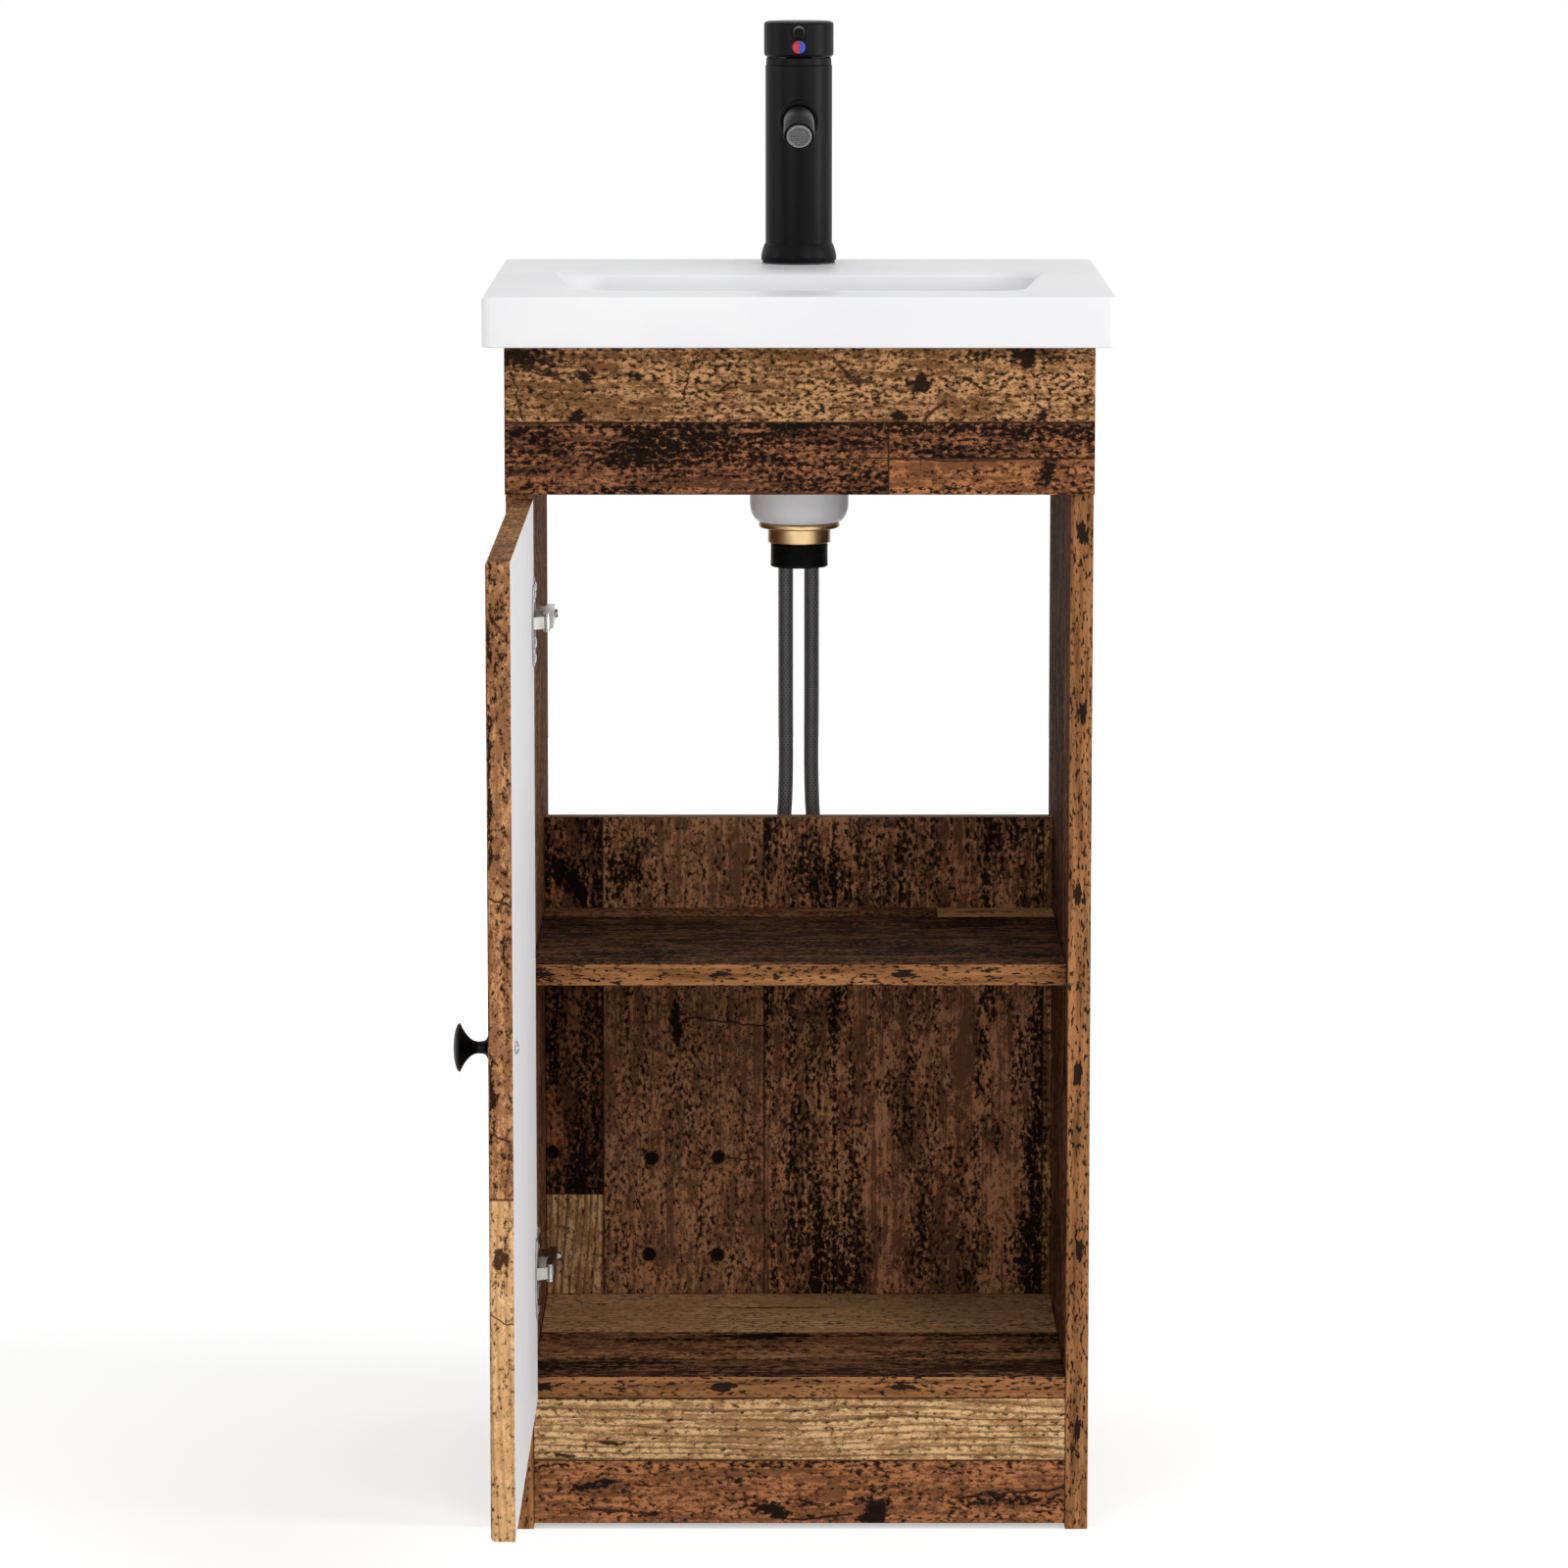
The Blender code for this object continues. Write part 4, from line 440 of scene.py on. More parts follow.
def hose(side, sign):
    """The braided tube with its two end faces, its path and its length."""
    shift, height = smooth_route(HOSE_ROUTE, ROUTE_STEP).T
    path = np.stack([sign * (HOSE_APART + shift), np.full_like(shift, TAP_Y), height], axis=1)
    tangent = np.gradient(path, axis=0)
    tangent /= np.linalg.norm(tangent, axis=1, keepdims=True)
    grid, faces = carried(path, np.full(len(path), HOSE_RADIUS), Y, np.cross(tangent, Y), HOSE_SIDES)
    lengths = np.concatenate([[0], np.cumsum(np.linalg.norm(np.diff(path, axis=0), axis=1))])
    mesh = bpy.data.meshes.new(side + "_braided_hose")
    mesh.from_pydata((grid + ORIGIN).reshape(-1, 3), [], faces)
    braid_map(mesh, lengths)
    bm = bmesh.new()
    bm.from_mesh(mesh)
    rims = [edge for edge in bm.edges if edge.is_boundary]
    for upper in (True, False):
        ends = [edge for edge in rims if (edge.verts[0].co.z > height.mean()) == upper]
        bmesh.ops.contextual_create(bm, geom=ends)
    bmesh.ops.recalc_face_normals(bm, faces=bm.faces)
    bm.to_mesh(mesh)
    bm.free()
    tube = in_scene(mesh.name, mesh)
    hand_over(tube, [hose_braid], "carcass", [side + "_hose"])
    return tube, path + ORIGIN, lengths[-1]


hoses = {side: hose(side, sign) for side, sign in (("left", -1), ("right", 1))}
print("hose length", round(hoses["left"][2], 4), "m, points", len(hoses["left"][1]))

# %% [markdown]
# ## Metal, plastic and rubber
#
# Plated and plain metal differ in colour and in how finely they are brushed. One formula serves for all
# of them: a base colour that wanders slightly between two shades, and a roughness that follows fine
# scratches. The black parts are powder coated or moulded, which shows as a very fine, even grain.


# %% Shared finishes
def metal(name, pale, deep, rough, scratch):
    """Two shades of a metal in slow clouds, with a roughness that follows brushed scratches."""
    made = Finish(name, Metallic=1.0)
    clouds, lines = made.cloud(45, 4), made.cloud(scratch, 3)
    made.set(Base_Color=made.mix(clouds.step(0.3, 0.7), srgb(*deep), srgb(*pale)),
             Roughness=rough + 0.22 * (lines - 0.5))
    made.relief(lines, 0.00002, 0.6)
    return made


def coating(name, pale, deep, rough, grain, depth, **constants):
    """A matt coat or moulding: two close shades in clouds, and a fine grain that carries the relief."""
    made = Finish(name, **constants)
    clouds, speck = made.cloud(30, 3), made.cloud(grain, 2)
    made.set(Base_Color=made.mix((0.6 * clouds + 0.4 * speck).step(0.3, 0.7), srgb(*deep), srgb(*pale)),
             Roughness=rough + 0.12 * (speck - 0.5))
    made.relief(speck, depth, 0.7)
    return made


# each material slot of the small parts, with its finish
FINISHES = {
    "nickel": metal("nickel_plate", (196, 194, 190), (156, 153, 148), 0.24, (300, 300, 40)),
    "brass": metal("brass_turned", (224, 197, 152), (196, 163, 113), 0.38, (60, 60, 900)),
    "matt_black": coating("black_powder_coat", (5, 5, 6), (3, 3, 4), 0.42, 1500, 0.00002,
                          Specular_IOR_Level=0.10),
    "black_plastic": coating("black_moulding", (15, 15, 15), (9, 9, 9), 0.50, 900, 0.00003,
                             Specular_IOR_Level=0.10),
    "rubber": coating("black_rubber", (30, 30, 30), (20, 20, 20), 0.82, 1200, 0.00004),
    "grey_insert": coating("grey_moulding", (140, 140, 142), (118, 118, 121), 0.42, 900, 0.00002),
}
print("shared finishes:", ", ".join(FINISHES))

# %% [markdown]
# ## Hose ends
#
# At the end of each hose a crimped steel ferrule holds the braid, and below it a loose hexagonal nut
# screws onto the valve. A nut's corners are chamfered by a cone, which leaves the curved edges seen on
# real ones. So the radius at each angle is the smaller of the hexagon's and the cone's.

# %% Ferrule and nut
HOSE_END = HOSE_ROUTE[-1, 1]
NUT_FLATS, NUT_HEIGHT, NUT_GAP = 0.019, 0.012, 0.0003
FERRULE_HEIGHT = 0.014


def hexagon(angle, flats):
    """Radius of a hexagon at an angle: half its width over flats / cosine of the angle off the flat."""
    return flats / 2 / np.cos((angle + np.pi / 6) % (np.pi / 3) - np.pi / 6)


def uneven(radius, height, centre):
    """Upright rings that close into a skin: centre + (r cos a, r sin a, h), with an r for each angle."""
    angle = around(radius.shape[1])
    x, y = centre[0] + radius * np.cos(angle), centre[1] + radius * np.sin(angle)
    grid = np.stack(np.broadcast_arrays(x, y, height[:, None]), axis=-1)
    return grid, grid_faces(*radius.shape, close_rows=True)


def hose_nut(centre):
    """A closed ring section; rows of the nut's outside take the smaller of the hexagon and the cone."""
    top = HOSE_END - NUT_GAP
    bottom, crown = top - NUT_HEIGHT, top + FERRULE_HEIGHT
    thread = np.linspace(bottom + 0.0082, bottom + 0.0008, 13)
    crimp = np.linspace(top + 0.0016, crown - 0.0016, 25)
    wave = 0.0063 + 0.0003 * np.cos(np.linspace(0, 8 * np.pi, 25))
    # radius, height, and 1 on rows that the hexagon cuts
    rows = [(0.0078, bottom, 0), (0.0096, bottom, 1), (0.0104, bottom + 0.0005, 1),
            (0.0111, bottom + 0.0012, 1), (0.0111, top - 0.0012, 1), (0.0104, top - 0.0005, 1),
            (0.0096, top, 1), (0.0074, top, 0), (0.0068, top + 0.0005, 0), *zip(wave, crimp, 0 * crimp),
            (0.0064, crown - 0.0004, 0), (0.0060, crown, 0), (0.0058, crown - 0.0003, 0),
            (0.0058, bottom + 0.0085, 0),
            *zip(np.where(np.arange(13) % 2, 0.0079, 0.0075), thread, 0 * thread)]
    limit, height, six = np.array(rows).T
    cut = np.minimum(limit[:, None], hexagon(around(96), NUT_FLATS))
    return uneven(np.where(six[:, None] > 0, cut, limit[:, None]), height, centre)


for side, (tube, path, length) in hoses.items():
    end = path[-1] - ORIGIN
    nut = piece(side + "_hose_end", [hose_nut(end)], "carcass", "nickel", [side + "_hose_nut"], 25)

# %% [markdown]
# ## Old-wood print
#
# The boards are covered with a printed paper of reclaimed planks: brown fibre, soot in the pores,
# charred patches, and dark seams where one plank meets the next. A photograph could be wrapped round
# them, but a formula has no edge and no repeat. Each board lists its planks as rectangles, u along the
# grain and v across it. Every plank sets two shades, a crust and how much it is pitted, charred and
# ringed, and shifts the noise so that no two planks look alike.

# %% Plank looks and the print
NAIL = 0.0052
# look: pale shade, deep shade, crust colour, and the shares of crust, patchiness and growth rings
LOOKS = {
    "tan": ((200, 149, 101), (118, 81, 51), (28, 18, 13), (0.74, 0.36, 0.15)),
    "amber": ((208, 152, 103), (148, 101, 66), (34, 22, 15), (0.66, 0.60, 0.15)),
    "golden": ((222, 180, 129), (158, 117, 76), (50, 32, 21), (0.30, 0.35, 1.00)),
    "honey": ((244, 197, 143), (214, 165, 113), (70, 43, 26), (0.40, 0.45, 0.60)),
    "russet": ((178, 117, 75), (116, 74, 48), (22, 15, 12), (0.66, 0.80, 0.20)),
    "burnt": ((162, 106, 71), (90, 57, 39), (15, 11, 9), (1.02, 1.20, 0.10)),
    "umber": ((200, 143, 101), (116, 79, 56), (18, 13, 10), (0.84, 1.10, 0.10)),
    "walnut": ((190, 137, 96), (118, 83, 58), (22, 15, 11), (0.56, 0.65, 0.15)),
    "smoked": ((130, 89, 60), (50, 33, 23), (14, 10, 8), (0.66, 1.50, 0.30)),
    "striped": ((186, 132, 90), (116, 79, 53), (18, 12, 10), (0.58, 1.50, 0.30)),
}
LOOKS = {name: [*(srgb(*shade) for shade in shades), (*shares, 1.0)]
         for name, (*shades, shares) in LOOKS.items()}


def metres(lengths):
    """Millimetres made metres; None, an open side, stays."""
    return [mm if mm is None else mm / 1000 for mm in lengths]


def edge_distance(wood, u, v, area):
    """How far inside a rectangle a point is: the least of its distances to the sides that aren't open."""
    low_u, high_u, low_v, high_v = area
    pairs = ((u, low_u), (high_u, u), (v, low_v), (high_v, v))
    nearest, *others = [far - near for far, near in pairs if far is not None and near is not None]
    for side in others:
        nearest = wood.math("MINIMUM", nearest, side)
    return nearest


def line_distance(wood, u, v, start_u, start_v, stop_u, stop_v):
    """How far a point is from a straight scratch: its offset from the nearest point of the segment."""
    du, dv = stop_u - start_u, stop_v - start_v
    off_u, off_v = u - start_u, v - start_v
    share = (off_u * du + off_v * dv) * (1 / (du * du + dv * dv))
    share = wood.math("MINIMUM", wood.most(share, 0.0), 1.0)
    return wood.length(off_u - share * du, off_v - share * dv)


def old_wood(name, run, cross, ground, shift, planks, smudges=(), nails=(), cracks=()):
    """Two shades mixed by fibre and blotches, under dark crust where fine specks and their cover add up."""
    wood = Finish(name, IOR=1.45, Specular_IOR_Level=0.05)
    u, v, w = wood.board_axes(run, cross)
    look, seam = LOOKS[ground], 0.0
    for number, (area, plank) in enumerate(planks, 1):
        distance = edge_distance(wood, u, v, metres(area))
        inside = distance.step(-0.0001, 0.0001)
        look = [wood.mix(inside, old, new) for old, new in zip(look, LOOKS[plank])]
        shift = shift + inside * (0.53 * number)
        seam = wood.most(seam * (1 - inside), abs(distance).step(0.0011, 0.0003))
    pale, deep, crust, shares = look
    amount, patchy, rings = wood.axes(shares)
    along, across = u + shift, v + 0.37 * shift

    def field(fine_u, fine_v, detail, rough=0.55):
        return wood.noise(wood.point(along * fine_u, across * fine_v, w * fine_v), detail, rough) - 0.5

    wander, streak = field(3, 14, 2), field(2.2, 55, 3)
    stripe, fibre = field(7, 170, 3, 0.6), field(14, 420, 2)
    patch, blotch = field(18, 52, 5, 0.65), field(30, 60, 3)
    speck, dapple, grain = field(250, 370, 4, 0.62), field(120, 190, 3, 0.6), field(900, 1300, 2)
    cover = patchy * (0.8 * patch + 0.7 * streak + 0.8 * stripe) + 0.35 * fibre + 0.2 * blotch

    def away(at_u, at_v, long, wide, ragged):
        off_u, off_v = (u - at_u) * (1 / long), (v - at_v) * (1 / wide)
        return wood.length(off_u + ragged * patch, off_v + ragged * blotch)

    for *place, strength in smudges:
        cover = cover + strength * away(*metres(place), 5.0).step(1.7, 0.0)
    dark = (2.0 * speck + cover + 0.32 * amount + 0.5 * grain).step(0.12, 0.52)
    shade = 0.5 + 1.2 * blotch + 1.2 * fibre + 0.9 * streak + 0.8 * stripe + 1.3 * dapple + grain
    wave = wood.math("SINE", (across * 185 + wander * 7 + 0.8 * speck) * (2 * math.pi))
    lines = rings * wave.step(0.1, 1.0)
    colour = wood.mix(shade.step(0.28, 0.72), deep, pale)
    colour = wood.mix(0.75 * lines * (0.8 + 1.5 * streak + dapple), colour, crust)
    for nail in nails:
        hole = (away(*metres(nail), NAIL, NAIL, 0.3) + 0.8 * speck).step(1.1, 0.8)
        dark = wood.most(dark, hole)
    for crack in cracks:
        *line, width = metres(crack)
        near = line_distance(wood, u + 0.013 * blotch, v + 0.013 * patch, *line)
        dark = wood.most(dark, 0.9 * (near + 0.5 * width * speck).step(width, 0.4 * width))
    dark = wood.most(dark, 0.85 * seam)
    wood.set(Base_Color=wood.mix(0.98 * dark, colour, crust), Roughness=0.80 + 0.08 * dark + 0.15 * fibre)
    wood.relief(0.7 - 0.55 * dark + 0.5 * fibre - 0.2 * lines, 0.0003, 0.8)
    return wood


print("looks for planks:", ", ".join(LOOKS))

# %% [markdown]
# ## Prints of the single boards
#
# Each call below gives a board's print: the axes along and across the grain, the ground and the noise's
# shift, then planks and single marks in millimetres of the cabinet's frame. A smudge is its middle, its
# reach both ways and its strength, which lightens when negative. A nail is a point, and a crack is a
# start, a stop and a half width. The apron has a pale plank over a charred one; the back panel's planks
# stand upright; the door's planks run from top to bottom. The door's long edge carries the print as
# well, because the paper is wrapped round its rounded edges.

# %% Board prints
apron_print = old_wood(
    "apron_print", 0, 2, "tan", 0.2,
    planks=[((None, None, None, 739.2), "burnt"), ((57.6, None, None, 739.2), "burnt"),
            ((57.6, None, None, 715.9), "russet")],
    smudges=[(79, 764, 5, 4, 0.5), (144, 781, 6, 6, 0.6), (-140, 770, 7, 3, 0.5),
             (-107, 768.5, 4, 3, 0.5), (-175, 781, 22, 8, 0.4), (158, 747, 4, 6, 0.5),
             (65, 742, 5, 3, 0.5), (-145, 742, 5, 3, 0.5), (-20, 732, 40, 6, 0.2),
             (-105, 724, 48, 7, 0.2), (162, 708, 5, 11, 0.5), (150, 783, 30, 4, 0.2)],
    cracks=[(-66, 783, -73, 759, 0.8), (-47, 766, -53, 760.5, 1.4), (-188, 768, -179, 742, 0.8),
            (-189, 783, -152, 767, 2.2), (25, 779, 33, 769, 2), (33, 769, 49, 766, 1.8),
            (90, 749.5, 81.5, 741, 1.7), (17, 715, 155, 714.7, 0.8)])
plinth_print = old_wood(
    "plinth_print", 0, 2, "golden", 1.7,
    planks=[((None, None, None, 46.9), "russet")],
    smudges=[(-20, 12.5, 10, 6, 0.8), (48, 11.5, 8, 7, 0.8), (-130, 29, 16, 4, 0.5),
             (-125, 59, 8, 1.4, 0.6), (-155, 50, 6, 1.4, 0.6), (140, 20, 30, 5, 0.3)],
    cracks=[(100, 21, 174, 28.5, 1.4), (-150, 14.5, -95, 11, 0.9), (-5, 6, 35, 10, 1.1),
            (-108, 30, -86, 28.5, 0.8)])
shelf_print = old_wood(
    "shelf_print", 0, 1, "smoked", 2.9,
    planks=[((None, 95, 214, None), "umber"), ((95, None, 214, None), "honey"),
            ((None, None, 120, 214), "smoked")],
    smudges=[(130, 236, 16, 3, 0.6)])
bottom_print = old_wood(
    "bottom_print", 0, 1, "smoked", 4.1,
    planks=[((None, None, 133, None), "honey"), ((None, None, 49, 133), "striped")],
    smudges=[(-18, 121, 24, 9, 0.7), (-25, 212, 30, 3, 0.6)])
back_print = old_wood(
    "back_print", 2, 0, "burnt", 5.3,
    planks=[((None, 175.6, None, -136.2), "golden"), ((None, None, -136.2, -24), "walnut"),
            ((None, None, -24, 169.8), "umber"), ((None, None, 169.8, None), "tan")],
    smudges=[(398, -155, 14, 12, 0.5), (400, -112, 24, 14, 0.4), (405, 18, 24, 18, 0.22),
             (167, 60, 50, 8, -0.6), (200, 140, 110, 12, -0.4), (150, 166, 130, 7, 0.28),
             (120, 20, 50, 30, 0.16), (300, -84, 10, 4, 0.7)],
    nails=[(200.9, -102.7), (201.6, -56.1), (132.4, -104.7), (132.4, -56.8), (205, -171.8)],
    cracks=[(300, -79, 295, -25, 0.9), (202, -50, 200, -27, 0.8), (278, -159, 259, -174, 0.9)])
door_print = old_wood(
    "door_print", 2, 1, "burnt", 7.1,
    planks=[((None, None, -59.5, None), "russet"), ((None, None, -172.5, -59.5), "tan"),
            ((None, None, -366.5, -172.5), "walnut"), ((301.6, None, None, -366.5), "russet"),
            ((None, 301.6, None, -366.5), "golden"), ((None, 420, -172.5, -59.5), "burnt")],
    smudges=[(550, -120, 24, 12, 0.6), (180, -330, 30, 10, 0.5)],
    nails=[(230, -240), (230, -300)],
    cracks=[(500, -200, 440, -190, 0.9), (330, -280, 300, -340, 0.8)])
door_edge_print = old_wood(
    "door_edge_print", 2, 0, "amber", 8.3,
    planks=[((None, 301.6, None, None), "honey")],
    smudges=[(265, -181, 12, 4, 0.5), (560, -187, 40, 2, 0.5), (640, -187, 16, 2, 0.5),
             (450, -177, 30, 2, 0.3), (370, -187, 20, 3, 0.4)],
    cracks=[(488, -190, 482, -174, 1), (342, -190, 336, -174, 0.9), (230, -190, 224, -174, 0.8)])
left_print = old_wood(
    "left_print", 2, 1, "walnut", 9.7,
    planks=[((None, None, 118, 232), "umber"), ((420, None, 232, None), "russet")],
    smudges=[(250, 180, 30, 12, 0.6)],
    nails=[(610, 60)],
    cracks=[(350, 10, 300, 100, 0.9)])
right_print = old_wood(
    "right_print", 2, 1, "burnt", 11.9,
    planks=[((370, None, 105, 226), "smoked"), ((None, 370, 226, None), "umber")],
    smudges=[(300, 50, 26, 10, 0.6)],
    nails=[(560, 160), (560, 200)],
    cracks=[(480, 120, 430, 210, 0.9)])
print("board prints made")

# %% [markdown]
# ## Edge band, chipboard and melamine
#
# The print ends at the board's edges. Visible edges carry a thin brown band with short dark dashes,
# hidden ones show the chips of the core, and the inner faces of the door and the apron are plain pale
# grey melamine.


# %% Edge and inner finishes
KNOT_STEP, KNOT_SHIFT = 0.1195, 0.051
KNOT_LONG, KNOT_WIDE = 0.007, 0.0028


def edge_band(name, run, across, middle):
    """A brown strip: dashes where a noise stretched along the run is high, and long dark knots in a row."""
    band = Finish(name, IOR=1.45, Specular_IOR_Level=0.06)
    u, v, w = band.board_axes(run, across)
    dash = band.noise(band.point(u * 190, v * 560, w * 560), 3, 0.6)
    tone = band.noise(band.point(u * 16, v * 260, w * 260), 4, 0.6)
    off_u = band.math("PINGPONG", u + KNOT_SHIFT, KNOT_STEP / 2) * (1 / KNOT_LONG)
    off_v = (abs(v) - middle) * (1 / KNOT_WIDE) + 5 * (tone - 0.5)
    dark = (dash + 0.36 * band.length(off_u, off_v).step(1.5, 0.3)).step(0.525, 0.625)
    brown = band.mix(tone.step(0.25, 0.75), srgb(104, 67, 39), srgb(174, 120, 75))
    band.set(Base_Color=band.mix(0.95 * dark, brown, srgb(17, 13, 11)), Roughness=0.6 + 0.1 * (tone - 0.5))
    band.relief(tone - 0.5 * dark, 0.00008, 0.6)
    return band


def chipboard():
    """Flat chips as Voronoi cells squeezed in height, each with its own shade of wood."""
    core = Finish("chipboard_core", Roughness=0.9)
    cells = {"Vector": core.stretched((330, 330, 520)), "Scale": 1.0}
    shade = core.axes(core.node("TexVoronoi", {}, cells, "Color"))[0]
    mixed = (0.8 * shade + 0.2 * core.cloud(900, 2)).step(0.1, 0.9)
    core.set(Base_Color=core.mix(mixed, srgb(120, 90, 58), srgb(196, 166, 122)))
    core.relief(shade, 0.0003, 0.7)
    return core


def melamine():
    """Pale grey paper under resin: a faint speck and a very shallow pearl texture."""
    face = Finish("grey_melamine", IOR=1.5, Specular_IOR_Level=0.08)
    pearl = face.cloud(700, 2)
    mixed = (0.5 * face.cloud(22, 3) + 0.5 * pearl).step(0.3, 0.7)
    face.set(Base_Color=face.mix(mixed, srgb(206, 206, 207), srgb(211, 211, 211)),
             Roughness=0.58 + 0.15 * (pearl - 0.5))
    face.relief(pearl, 0.00003, 0.6)
    return face


upright_band = edge_band("upright_edge_band", 2, 0, 0.184)
shelf_band = edge_band("shelf_edge_band", 0, 2, 0.3705)
level_band = edge_band("level_edge_band", 0, 2, 0.0965)
core, grey_face = chipboard(), melamine()
print("edge finishes made")

# %% [markdown]
# ## Boards
#
# A board's solid already has its true shape and its eased edges, so it is copied as it is. Only the
# finishes differ from face to face, and a face's own direction says which one it takes. The copy's
# loose triangles are welded first, so that the eased edges shade smoothly, while the broad faces stay
# flat.


# %% Dressed boards
def board(node, body, finishes, rules, rest):
    """A welded copy of a board, with its faces' finishes by number.

    A rule is the number, then the axis and the sign of the faces that take it, where 0 is both signs. The
    first rule that fits a face counts, and a face that none fits takes the rest's number.
    """
    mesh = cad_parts[node].data.copy()
    weld(mesh)
    hand_over(in_scene(node + "_dressed", mesh), finishes, body, [node], 40)
    normals = np.empty(3 * len(mesh.polygons), dtype=np.float32)
    mesh.polygons.foreach_get("normal", normals)
    normals = normals.reshape(-1, 3)
    numbers = np.full(len(normals), rest, dtype=np.int32)
    for number, axis, sign in reversed(rules):
        along = normals[:, axis] * sign if sign else np.abs(normals[:, axis])
        numbers[along > 0.6] = number
    mesh.polygons.foreach_set("material_index", numbers)
    mesh.polygons.foreach_set("use_smooth", np.abs(normals).max(axis=1) < 0.999)


# print on both faces, band on the front or upper edge, and the core elsewhere
PRINT, BAND, CORE = 0, 1, 2
SIDES = [(BAND, 1, -1), (PRINT, 0, 0)]
LEVELS = [(PRINT, 2, 0), (BAND, 1, -1)]
FACING = [(PRINT, 1, 0), (BAND, 2, 1)]
board("left_side_panel", "carcass", [left_print, upright_band, core], SIDES, CORE)
board("right_side_panel", "carcass", [right_print, upright_band, core], SIDES, CORE)
board("shelf", "carcass", [shelf_print, shelf_band, core], LEVELS, CORE)
board("bottom_panel", "carcass", [bottom_print, level_band, core], LEVELS, CORE)
board("back_panel", "carcass", [back_print, level_band, core], FACING, CORE)
board("plinth", "carcass", [plinth_print, level_band, core], FACING, CORE)
# apron and door: grey inside, and on the door's free edge the print that is wrapped round it
GREY, EDGE = 1, 2
board("apron", "carcass", [apron_print, grey_face], [(GREY, 1, 1)], PRINT)
board("door_panel", "door", [door_print, grey_face, door_edge_print], [(GREY, 0, 1), (EDGE, 1, -1)], PRINT)

# %% [markdown]
# ## Ceramic basin
#
# The basin is one glazed casting: a slab with a soft rim, a bowl whose walls curve into a shallow
# floor, and a boss below the drain. Such a shape could be sculpted or subdivided from a cage. Here it
# is a stack of level rings from the drain up the bowl, over the rim and back down outside. Each ring is
# a rounded quadrilateral or a circle with the same number of points, so the whole skin is one grid that
# closes on itself.

# %% Ring outlines
BASIN_BOTTOM, BASIN_TOP = 0.7893, 0.8223
BASIN_HALF, BASIN_FRONT, BASIN_REAR = 0.205, -0.040, 0.345
BOWL_LIP, BOWL_FLOOR, BOWL_UNDER = 0.005, 0.7073, 0.6953
RIM_ROUND, RIM_UNDER = 0.003, 0.0015
BOSS_TOP, BOSS_BOTTOM = 0.6913, 0.6603
BOSS_RADIUS, BOSS_FILLET, BOSS_FOOT, FOOT_HEIGHT = 0.033, 0.004, 0.0075, 0.013
DRAIN_Y, DRAIN_TOP, DRAIN_RADIUS = 0.128, 0.7033, 0.023
RECESS_RADIUS, RECESS_FLOOR = 0.0338, 0.6993
CORNER_POINTS, SIDE_POINTS = 17, 14
RING_POINTS = 4 * (CORNER_POINTS + SIDE_POINTS)
# outlines of the bowl and the slab: front, rear, half width in front and at the rear, corner radius
WALL = np.array([0.024, 0.218, 0.143, 0.164, 0.030])
FLOOR = np.array([0.064, 0.178, 0.085, 0.106, 0.046])
OUTSIDE = np.array([0.018, 0.224, 0.149, 0.170, 0.036])
SLAB = np.array([BASIN_FRONT, BASIN_REAR, BASIN_HALF, BASIN_HALF, 0.006])
OUTWARD = np.array([-1.0, 1.0, 1.0, 1.0, 0.0])
LIP_FLARE = OUTWARD * [0.006, 0.020, 0.006, 0.006, 0]


def unit(vectors):
    return vectors / np.linalg.norm(vectors, axis=-1, keepdims=True)


def rounded_quad(front, rear, half_front, half_rear, radius):
    """Four corner arcs, each tangent to both sides, joined by straight runs."""
    corner = np.array([(half_front, front), (half_rear, rear), (-half_rear, rear), (-half_front, front)])
    before, after = [unit(np.roll(corner, step, axis=0) - corner) for step in (1, -1)]
    half = np.arccos(np.sum(before * after, axis=1, keepdims=True)) / 2
    centre = corner + unit(before + after) * radius / np.sin(half)
    start, stop = [corner + way * radius / np.tan(half) - centre for way in (before, after)]
    first = np.arctan2(start[:, 1], start[:, 0])
    sweep = (np.arctan2(stop[:, 1], stop[:, 0]) - first + np.pi) % (2 * np.pi) - np.pi
    angle = first[:, None] + sweep[:, None] * np.linspace(0, 1, CORNER_POINTS)
    arcs = centre[:, None, :] + radius * np.stack([np.cos(angle), np.sin(angle)], axis=-1)
    leave, arrive = arcs[:, -1:], np.roll(arcs[:, :1], -1, axis=0)
    runs = leave + (arrive - leave) * np.linspace(0, 1, SIDE_POINTS + 2)[1:-1, None]
    return np.concatenate([arcs, runs], axis=1).reshape(-1, 2)


def drain_circle(radius):
    """A circle round the drain whose points keep step with those of a rounded quadrilateral."""
    step = 2 * np.pi / RING_POINTS
    angle = -np.pi / 4 - step * (CORNER_POINTS - 1) / 2 + step * np.arange(RING_POINTS)
    return np.stack([radius * np.cos(angle), DRAIN_Y + radius * np.sin(angle)], axis=-1)


print("points in a ring:", RING_POINTS)


# %% Basin skin
def quarter(steps):
    """Angles of a quarter turn, for curves on a sine and a cosine."""
    return np.linspace(0, np.pi / 2, steps)


